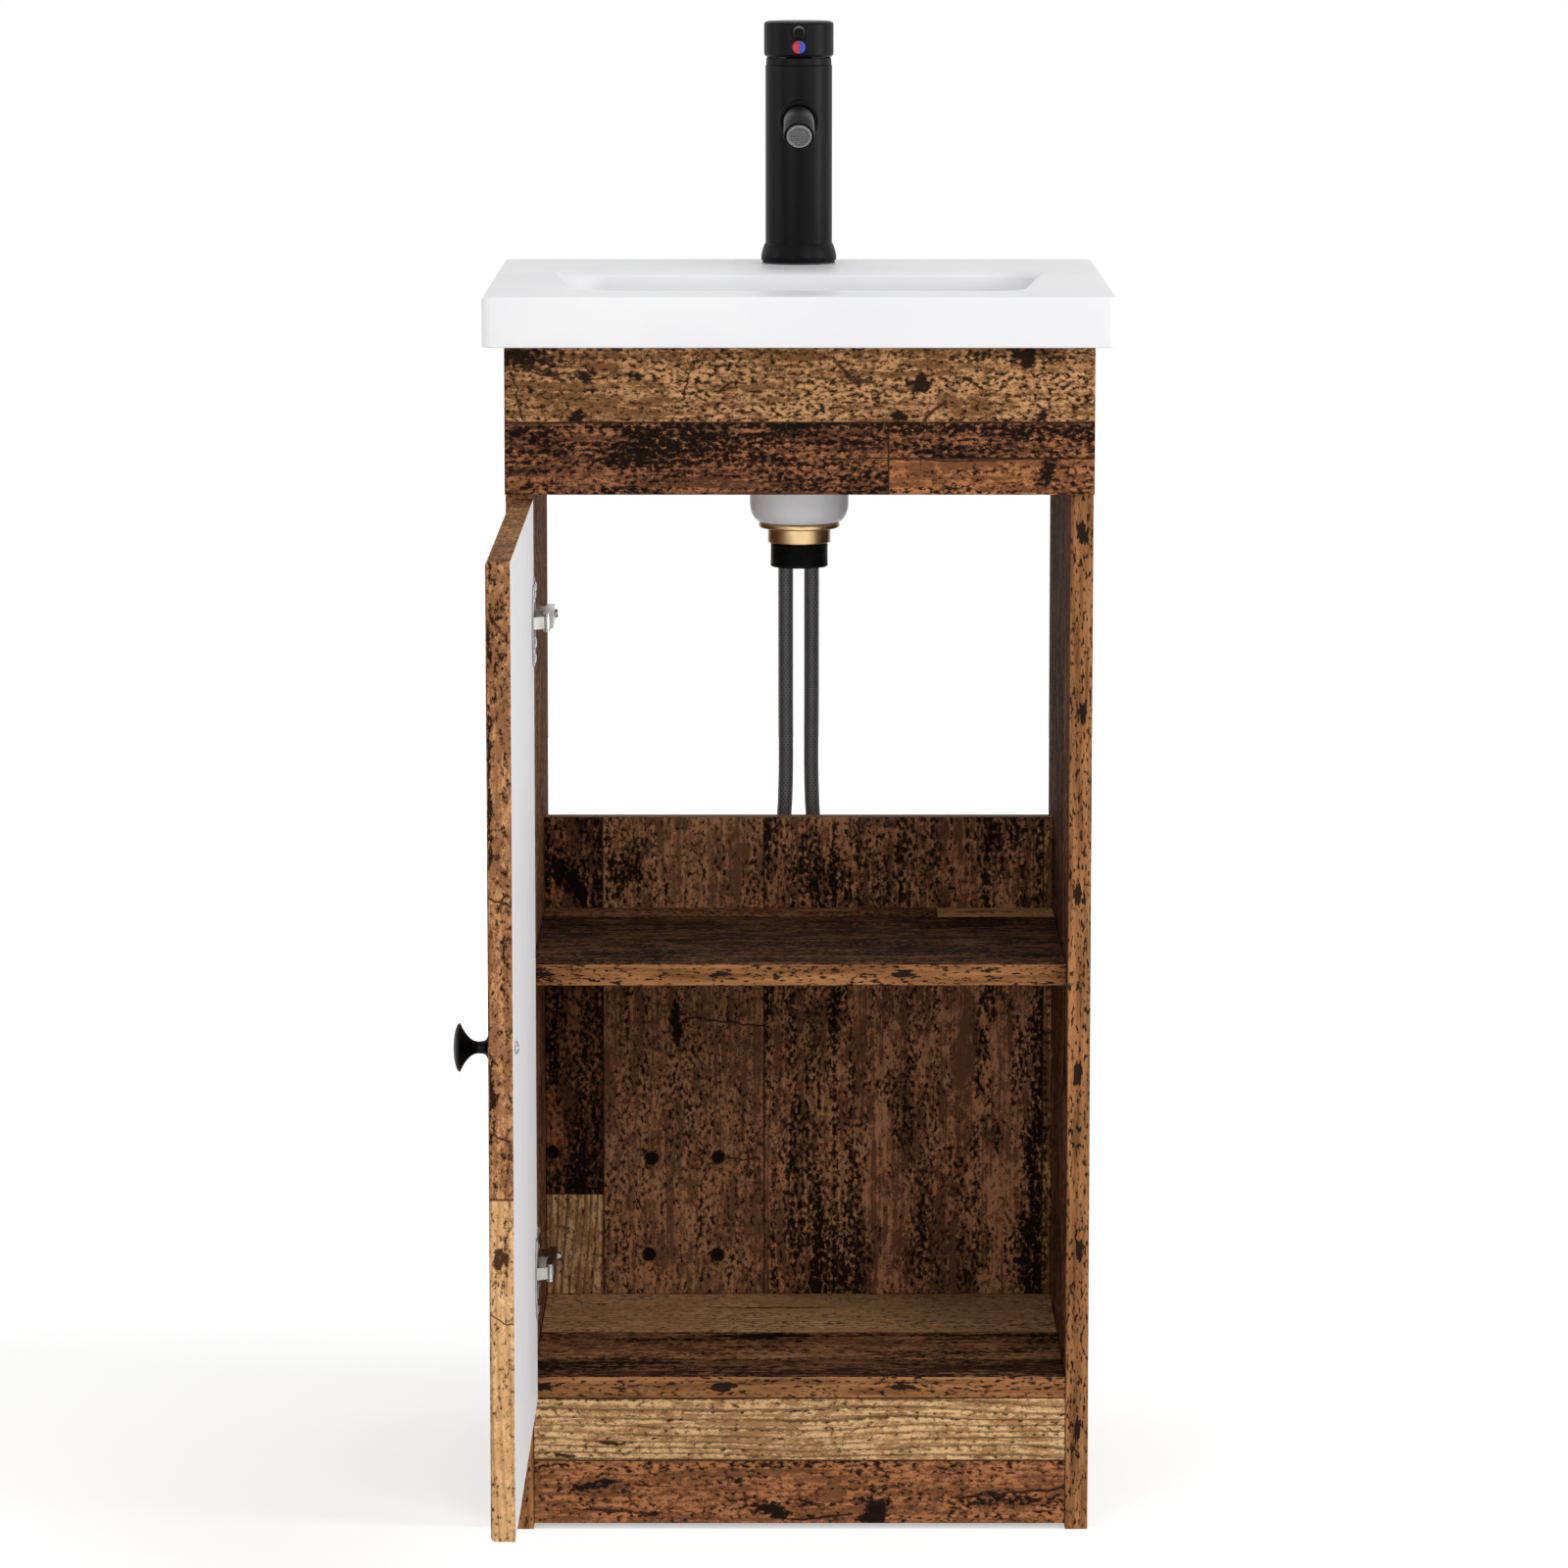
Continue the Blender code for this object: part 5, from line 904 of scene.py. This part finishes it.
def bowl_rings():
    """Up from the drain: its recess, the bowl's floor, then wall and lip, each on a quarter turn."""
    edge = BASIN_TOP - BOWL_LIP
    start, recess = rounded_quad(*FLOOR), drain_circle(RECESS_RADIUS)
    for radius, height in ((DRAIN_RADIUS, BOSS_BOTTOM), (DRAIN_RADIUS, RECESS_FLOOR),
                           (0.0335, RECESS_FLOOR), (RECESS_RADIUS, 0.7026), (0.0345, DRAIN_TOP)):
        yield height, drain_circle(radius)
    for share in np.linspace(0.15, 0.85, 6):
        yield DRAIN_TOP + (BOWL_FLOOR - DRAIN_TOP) * share ** 1.6, recess + (start - recess) * share
    for turn in quarter(22)[::-1]:
        quad = WALL + (FLOOR - WALL) * (1 - np.cos(turn))
        yield edge - (edge - BOWL_FLOOR) * np.sin(turn), rounded_quad(*quad)
    for turn in quarter(9)[1:]:
        flare = 0.7 * (1 - np.cos(turn)) + 0.3 * np.sin(turn) * (turn / np.pi * 2)
        yield BASIN_TOP - BOWL_LIP * (1 - np.sin(turn)), rounded_quad(*(WALL + LIP_FLARE * flare))


def rim_rings():
    """The slab's edge: a quarter round above, a straight face, and a smaller quarter round below."""
    for turn in quarter(8):
        inset = RIM_ROUND * (1 - np.sin(turn))
        yield BASIN_TOP - RIM_ROUND * (1 - np.cos(turn)), rounded_quad(*(SLAB - OUTWARD * inset))
    for turn in quarter(6):
        inset = RIM_UNDER * (1 - np.cos(turn))
        yield BASIN_BOTTOM + RIM_UNDER * (1 - np.sin(turn)), rounded_quad(*(SLAB - OUTWARD * inset))


def under_rings():
    """Below the slab: the bowl's outside, its underside, and the boss with its rounded foot."""
    base = FLOOR + OUTWARD * 0.003
    for turn in quarter(18):
        quad = OUTSIDE + (base - OUTSIDE) * (1 - np.cos(turn))
        yield BASIN_BOTTOM - (BASIN_BOTTOM - BOWL_UNDER) * np.sin(turn), rounded_quad(*quad)
    start, root = rounded_quad(*base), drain_circle(BOSS_RADIUS + BOSS_FILLET)
    for share in np.linspace(0.2, 0.8, 4):
        yield BOWL_UNDER + (BOSS_TOP - BOWL_UNDER) * share, start + (root - start) * share
    for turn in quarter(6):
        radius = BOSS_RADIUS + BOSS_FILLET * (1 - np.sin(turn)) ** 1.6
        yield BOSS_TOP - BOSS_FILLET * np.sin(turn), drain_circle(radius)
    for turn in quarter(14):
        radius = BOSS_RADIUS - BOSS_FOOT * (1 - np.cos(turn))
        yield BOSS_BOTTOM + FOOT_HEIGHT * (1 - np.sin(turn)), drain_circle(radius)


def glaze():
    """White glaze: almost even, with slow clouds in the white and a faint ripple left from firing."""
    white = Finish("white_glaze", IOR=1.52, Specular_IOR_Level=0.30)
    ripple = white.cloud(55, 2)
    clouds = white.cloud(9, 3).step(0.3, 0.7)
    white.set(Base_Color=white.mix(clouds, srgb(232, 232, 234), srgb(238, 238, 239)),
              Roughness=0.34 + 0.08 * ripple)
    white.relief(ripple, 0.00003, 0.2)
    return white


def cut_away(made, low, high, sides=4):
    """Takes a box, or the round rod inside it, out of a mesh, and removes the tool."""
    centre, size = np.add(low, high) / 2 + ORIGIN, np.subtract(high, low)
    angle = around(sides) + np.pi / 4
    reach = 0.5 / np.cos(np.pi / 4) if sides == 4 else 0.5
    ring = np.stack([reach * np.cos(angle), reach * np.sin(angle)], axis=-1)
    level = np.array([-0.5, -0.5, 0.5, 0.5])[:, None, None] * np.ones((4, sides, 1))
    spread = np.array([0.0, 1.0, 1.0, 0.0])[:, None, None] * ring
    points = centre + np.concatenate([spread, level], axis=-1) * size
    tool = new_object("cutter", points, grid_faces(4, sides))
    boolean = made.modifiers.new("cutter", "BOOLEAN")
    boolean.object, boolean.operation, boolean.solver = tool, "DIFFERENCE", "EXACT"
    bpy.context.view_layer.update()
    cut = bpy.data.meshes.new_from_object(made.evaluated_get(bpy.context.evaluated_depsgraph_get()))
    made.modifiers.clear()
    made.data = cut
    bpy.data.objects.remove(tool)


TAP_HOLE = 0.0175
POCKET_LOW, POCKET_HIGH = (-0.040, 0.271, 0.760), (0.040, 0.337, 0.8083)
rings = [*bowl_rings(), *rim_rings(), *under_rings()]
skin = np.stack([np.column_stack([ring, np.full(RING_POINTS, height)]) for height, ring in rings])
basin = new_object("glazed_basin", skin + ORIGIN, grid_faces(len(rings), RING_POINTS, close_rows=True))
# the pocket under the tap, and the tap's hole
cut_away(basin, POCKET_LOW, POCKET_HIGH)
cut_away(basin, (-TAP_HOLE, TAP_Y - TAP_HOLE, 0.760), (TAP_HOLE, TAP_Y + TAP_HOLE, 0.860), 64)
hand_over(basin, [glaze()], "carcass", ["basin"], 40)

# %% [markdown]
# ## Waste
#
# A black plastic waste drops through the drain: a flange in the bowl, and a long threaded tail that a
# brass ring and a brass nut clamp from below. The thread is a real helix: its depth at any point
# depends on the height and on the angle together. Ring after ring of grooves would be simpler, but
# would not climb.

# %% Tail, ring, nut and plug
TAIL_RADIUS, TAIL_BORE, TAIL_END, TAIL_CHAMFER = 0.0193, 0.0168, 0.6303, 0.0008
THREAD_ROWS, THREAD_PITCH, THREAD_DEPTH = 390, 0.0014, 0.00055
THREAD_TOP, THREAD_FADE = 0.6985, 0.002
PLUG_SEAT = 0.7042


def threaded_tail():
    """Radius = profile - depth x triangle wave of (height / pitch + angle / turn), faded at both ends."""
    thread = np.linspace(THREAD_TOP, TAIL_END + TAIL_CHAMFER, THREAD_ROWS)
    top = [(TAIL_BORE, 0.7024), (TAIL_BORE + 0.0012, 0.7034), (TAIL_BORE + 0.004, 0.7039), (0.0308, 0.7039),
           (0.0316, 0.7036), (0.0320, 0.7027), (0.0320, 0.7009), (TAIL_RADIUS, 0.7009)]
    end = [(TAIL_RADIUS - TAIL_CHAMFER, TAIL_END), (TAIL_BORE, TAIL_END)]
    radius, height = np.array([*top, *zip(np.full(THREAD_ROWS, TAIL_RADIUS), thread), *end]).T
    upper = np.clip((THREAD_TOP - THREAD_FADE / 2 - height) / THREAD_FADE, 0, 1)
    lower = np.clip((height - TAIL_END - TAIL_CHAMFER) / THREAD_FADE, 0, 1)
    wave = np.abs(2 * ((height[:, None] / THREAD_PITCH + around(72) / (2 * np.pi)) % 1) - 1)
    cut = THREAD_DEPTH * wave * (upper * lower * (radius == TAIL_RADIUS))[:, None]
    return uneven(radius[:, None] - cut, height, (0, DRAIN_Y))


def eased_ring(outer, inner, bottom, top, edge):
    """A ring round the drain, spun from a rectangle with eased outer corners."""
    corners = [(inner, bottom), (outer, bottom), (outer, top), (inner, top)]
    return turned(softened(corners, edge, 6), (0, DRAIN_Y, 0), closed=True)


piece("waste_tail", [threaded_tail()], "carcass", "black_plastic", ["waste_body"], 25)
washer_ring = eased_ring(0.0270, 0.0196, 0.6564, 0.6600, 0.0014)
piece("waste_ring", [washer_ring], "carcass", "brass", ["waste_washer"])
nut_ring = eased_ring(0.0210, 0.0196, 0.6466, 0.6561, 0.0006)
piece("waste_ring_nut", [nut_ring], "carcass", "brass", ["waste_nut"])
plug = softened([(0, 0.0040), (0.012, 0.0038), (0.022, 0.0033), (0.0285, 0.0027), (0.0305, 0.0016),
                 (0.0305, 0.0008), (0.0297, 0), (0.004, 0), (0.004, -0.034), (0, -0.034)], 0.0008)
piece("push_plug", [turned(plug, (0, DRAIN_Y, PLUG_SEAT))], "plug", "matt_black", ["waste_plug"])

# %% [markdown]
# ## Mixer tap
#
# The tap is turned brass under a black powder coat: a straight body on a flared foot, a bonnet ring, a
# loose cap with a slim lever, and a spout that bends down at its tip. Turned parts are spun profiles
# with eased edges. The cap's rear underside is cut on a slope so that the lever can lift, which on the
# grid is a lower limit for the height.

# %% Body, bonnet and cap
TAP_FOOT, TAP_TOP, PIVOT = 0.8241, 0.9586, 0.9642
CAP_RADIUS, CAP_SLOPE = 0.024, math.radians(19.5)
LEVER_Z = 0.9825
tap_axis = (0, TAP_Y, 0)
fall = np.linspace(0, 1, 14) ** 1.6
shoulder = np.column_stack([0.023 + 0.003 * fall ** 0.6, TAP_FOOT + 0.012 - 0.0086 * fall])
seat = [(0, 0.9216), (0.0183, 0.9216), (0.0183, TAP_TOP), (0.0226, TAP_TOP), (0.023, TAP_TOP - 0.0004)]
foot = [(0.026, TAP_FOOT + 0.001), (0.0257, TAP_FOOT + 0.0003), (0.025, TAP_FOOT), (0.0163, TAP_FOOT),
        (0.0163, 0.8451), (0, 0.8451)]
column = turned([*seat, *shoulder, *foot], tap_axis, sides=128)
piece("tap_column", [column], "carcass", "matt_black", ["tap_body"])
bonnet = [(0.0136, 0.9639), (0.0218, 0.9639), (0.0223, 0.9635), (0.0226, 0.9599), (0.0226, 0.9589),
          (0.018, 0.9589), (0.018, 0.9542), (0.0136, 0.9542)]
bonnet_ring = turned(bonnet, tap_axis, sides=128, closed=True)
piece("tap_bonnet_ring", [bonnet_ring], "carcass", "matt_black", ["tap_bonnet"])


def cap_grid():
    """A spun cup, upside down; heights behind the pivot are not below the plane z = y tan slope."""
    curve = quarter(9)
    skirt = np.column_stack([CAP_RADIUS - 0.0025 * (1 - np.cos(curve)), 0.0025 * (1 - np.sin(curve))])
    crown = softened([(0, 0.0245), (0.0215, 0.0245), (CAP_RADIUS, 0.0233), (CAP_RADIUS, 0.012)], 0.0012, 7)
    inside = [(0.0195, 0), (0.0195, 0.0085), (0, 0.0085)]
    grid, faces = turned([*crown, (CAP_RADIUS, 0.006), *skirt, *inside], (0, 0, 0), sides=128)
    grid[..., 2] = np.maximum(grid[..., 2], grid[..., 1] * math.tan(CAP_SLOPE))
    return grid + [0, TAP_Y, PIVOT], faces


piece("tap_cap", [cap_grid()], "handle", "matt_black", ["handle_cap"])
lever = softened([(0, 0.055), (0.0038, 0.055), (0.0038, 0.003), (0.006, 0.003), (0.006, -0.0015),
                  (0, -0.0015)], 0.0008)
lever_rod = turned(lever, (0, TAP_Y - CAP_RADIUS, LEVER_Z), -Y, 64)
piece("tap_lever", [lever_rod], "handle", "matt_black", ["handle_lever"])

# %% Spout and its outlet
SPOUT_Z, SPOUT_RADIUS, SPOUT_START, TIP_LENGTH = 0.9211, 0.0104, 0.0115, 0.008
BEND_Y, BEND_RADIUS, BEND = 0.20733, 0.024, math.radians(28)
MOUTH_EDGE = 0.0004
DIMPLE_PITCH, DIMPLE_DEPTH, DIMPLED_RADIUS = 0.0016, 0.0009, 0.0064


def spout_grid():
    """A round section on a level run, an arc and a straight tip; its last rows turn in as the mouth."""
    level = np.linspace(TAP_Y - SPOUT_START, BEND_Y, 20)
    turn = np.linspace(0, BEND, 24)[1:]
    arc = np.column_stack([BEND_Y - BEND_RADIUS * np.sin(turn), SPOUT_Z - BEND_RADIUS * (1 - np.cos(turn))])
    along = np.array([-math.cos(BEND), -math.sin(BEND)])
    tip = arc[-1] + np.linspace(0, TIP_LENGTH, 9)[1:, None] * along
    line = np.concatenate([np.column_stack([level, np.full(20, SPOUT_Z)]), arc, tip])
    heading = np.concatenate([np.zeros(20), turn, np.full(8, BEND)])
    # rows of the mouth: how far ahead of the tip's edge, and the radius there
    ahead, narrow = np.array([(0, 0.0103), (MOUTH_EDGE, 0.0099), (MOUTH_EDGE, 0.0092), (0, 0.0088),
                              (-0.0064, 0.0088), (-0.0064, 0)]).T
    mouth = line[-1] - MOUTH_EDGE * along + ahead[:, None] * along
    line = np.concatenate([line[:1], line[:-1], mouth])
    heading = np.concatenate([heading[:1], heading[:-1], np.full(len(mouth), BEND)])
    radius = np.concatenate([[0], np.full(len(line) - 1 - len(mouth), SPOUT_RADIUS), narrow])
    path = np.column_stack([np.zeros(len(line)), line])
    up = np.column_stack([np.zeros(len(line)), -np.sin(heading), np.cos(heading)])
    return carried(path, radius, X, up, 72), path[-4], np.array([0, *along])


spout, mouth, outward = spout_grid()
collar = softened([(0.0090, 0.0105), (0.014, 0.0105), (0.014, 0.0270), (0.0105, 0.0270), (0.0090, 0.0250)],
                  0.0014)
collar_ring = turned(collar, (0, TAP_Y, SPOUT_Z), -Y, 72, closed=True)
piece("tap_spout_tube", [spout, collar_ring], "carcass", "matt_black", ["tap_spout"])


def pressed(radius, height, dent, centre, axis, sides, start=0.0):
    """A spun face with a pattern in it: a point (p, q) off the axis is at the height h - dent(p, q)."""
    axis, first, second = side_axes(axis)
    angle = around(sides) + start
    p, q = radius[:, None] * np.cos(angle), radius[:, None] * np.sin(angle)
    lift = height[:, None] - dent(p, q)
    grid = np.asarray(centre) + p[..., None] * first + q[..., None] * second + lift[..., None] * axis
    return grid, grid_faces(len(radius), sides)


def aerator_grid():
    """A small cup: its face has dimples on a hexagonal lattice, from three cosine waves at 60 degrees."""
    rim = [(0.0070, 0.0005), (0.0073, 0.0008), (0.0080, 0.0008), (0.0084, 0.0006), (0.0085, 0.0003),
           (0.0085, -0.006), (0, -0.006)]
    face = np.column_stack([np.linspace(0, 0.0068, 34), np.full(34, 0.0002)])
    radius, height = np.concatenate([face, rim]).T

    def dimples(p, q):
        wave = sum(np.cos(2 * np.pi / DIMPLE_PITCH * (p * math.cos(t) + q * math.sin(t)))
                   for t in (0, np.pi / 3, 2 * np.pi / 3))
        return DIMPLE_DEPTH * np.clip((wave - 0.3) / 1.2, 0, 1) * (radius < DIMPLED_RADIUS)[:, None]

    return pressed(radius, height, dimples, mouth, outward, 120)


def aerator_finish():
    """A grey rim round a specked, darker mesh: the shade changes at a distance from the mouth's middle."""
    made = Finish("aerator_mesh", Roughness=0.5)
    ends = {0: made.place(), 1: (ORIGIN + mouth).tolist()}
    away = made.node("VectorMath", {"operation": "DISTANCE"}, ends, "Value")
    mesh = made.mix(made.cloud(1400, 2).step(0.35, 0.65), srgb(82, 82, 83), srgb(126, 126, 127))
    made.set(Base_Color=made.mix(away.step(0.0074, 0.0077), mesh, srgb(134, 134, 136)))
    return made


piece("spout_aerator", [aerator_grid()], "carcass", "grey_insert", ["tap_aerator"], finish=aerator_finish())


# %% Temperature dot
DOT_RADIUS, DOT_Z = 0.0044, 0.9714


def dot_grid():
    """A shallow lens a little proud of the cap: y = -square root of (cap radius squared - x squared)."""
    ring = np.array([0, 0.15, 0.3, 0.45, 0.6, 0.75, 0.88, 0.96, 1.0, 1.0, 0.0]) * DOT_RADIUS
    proud = np.array([3.0, 3, 3, 2.9, 2.8, 2.6, 2.2, 1.6, 0.6, -12, -12]) * 0.0001
    angle = around(64)
    x, z = ring[:, None] * np.cos(angle), ring[:, None] * np.sin(angle)
    y = -np.sqrt(CAP_RADIUS ** 2 - x ** 2) - proud[:, None]
    return np.stack([x, TAP_Y + y, DOT_Z + z], axis=-1), grid_faces(11, 64)


enamel = Finish("dot_enamel", Roughness=0.35, Specular_IOR_Level=0.3)
across = enamel.axes()[0] - float(ORIGIN[0])
cloud = enamel.cloud(900, 2)
red = enamel.mix(cloud, srgb(196, 38, 32), srgb(214, 52, 42))
blue = enamel.mix(cloud, srgb(34, 74, 172), srgb(48, 92, 194))
enamel.set(Base_Color=enamel.mix(across.step(-0.0001, 0.0001), red, blue))
piece("hot_cold_dot", [dot_grid()], "handle", "dot_enamel", ["temperature_dot"], finish=enamel)

# %% [markdown]
# ## Knob and screws
#
# The door's knob is a small black mushroom, held by one screw from inside. The hinges' cups and plates
# are each held by two screws. A cross recess is what makes a small screw read as a screw, so it is
# pressed into the head's grid.

# %% Knob and screw heads
KNOB_X, SCREW_X, KNOB_Y, KNOB_Z = -0.1886, -0.1733, -0.353, 0.389
HINGES = {"upper": 0.608, "lower": 0.176}
# body, x and y, distance above and below the hinge's middle, radius and height of the heads
HINGE_SCREWS = {"cup": ("door", -0.1720, -0.0265, 0.021, 0.0036, 0.0012),
                "plate": ("carcass", -0.1742, 0.037, 0.0185, 0.0040, 0.0014)}
swell = np.linspace(1, 0, 16)[1:]
crown = quarter(14)
knob = [*zip(0.015 * np.sin(crown), 0.018 + 0.004 * np.cos(crown)),
        *zip(0.0037 + 0.0113 * swell ** 2.2, 0.0065 + 0.0115 * swell),
        (0.0041, 0.0033), (0.0052, 0.0020), (0.0066, 0.0014), (0.0070, 0.0010), (0.0070, 0), (0, 0)]
mushroom = turned(knob, (KNOB_X, KNOB_Y, KNOB_Z), -X)
piece("mushroom_knob", [mushroom], "door", "matt_black", ["door_knob"], 45)


def screw_head(centre, radius, height):
    """A low dome of 0.35 H + 0.65 H (1 - (r / R) squared), with two crossed slots pressed into it."""
    share = np.linspace(0, 1, 36)
    dome = np.concatenate([0.35 * height + 0.65 * height * (1 - share ** 2), [0, 0]])

    def cross(p, q):
        near, far = np.minimum(np.abs(p), np.abs(q)), np.maximum(np.abs(p), np.abs(q))
        slot = np.clip((0.17 * radius - near) / (0.07 * radius), 0, 1)
        slot = slot * np.clip((0.62 * radius - far) / (0.1 * radius), 0, 1)
        return 0.55 * height * slot * (np.arange(38) < 35)[:, None]

    return pressed(np.concatenate([radius * share, [radius, 0]]), dome, cross, centre, X, 80, 0.4)


shank = [(0, 0.0003), (0.002, 0.0003), (0.002, -0.0228), (0, -0.0228)]
shank = turned(shank, (SCREW_X, KNOB_Y, KNOB_Z), X, 24)
head = screw_head((SCREW_X + 0.0003, KNOB_Y, KNOB_Z), 0.0042, 0.0024)
piece("knob_screw_head", [head, shank], "door", "nickel", ["knob_screw"])
for side, z in HINGES.items():
    for part, (body, x, y, step, radius, height) in HINGE_SCREWS.items():
        heads = [screw_head((x, y, middle), radius, height) for middle in (z + step, z - step)]
        piece(side + "_" + part + "_screws", heads, body, "nickel")

# %% [markdown]
# ## Solids that keep their shape
#
# Small fittings are already right as solids: pins, hinge arms, cups and links, the tap's fixing and
# inner parts. They only need their finishes. A solid takes the finish of the longest entry below that
# is in its name.

# %% Finishes for the fittings
FITTINGS = {
    "nickel": ["shelf_pin", "hinge_plate", "hinge_arm", "arm_pin", "arm_screw", "hinge_link", "hinge_cup",
               "cup_pin", "tap_stud", "lever_stem", "tap_clamp"],
    "brass": ["tap_clamp_nut"], "black_plastic": ["plug_guide"], "rubber": ["waste_seal", "tap_gasket"],
    "grey_insert": ["tap_cartridge", "cartridge_rotor"],
}
finish_of = {key: FINISHES[slot] for slot, keys in FITTINGS.items() for key in keys}
dressed = 0
for name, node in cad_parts.items():
    matches = [key for key in finish_of if key in name]
    if matches and not node.hide_render:
        node.data.materials.clear()
        node.data.materials.append(finish_of[max(matches, key=len)].material)
        dressed += 1
print("fittings dressed:", dressed)
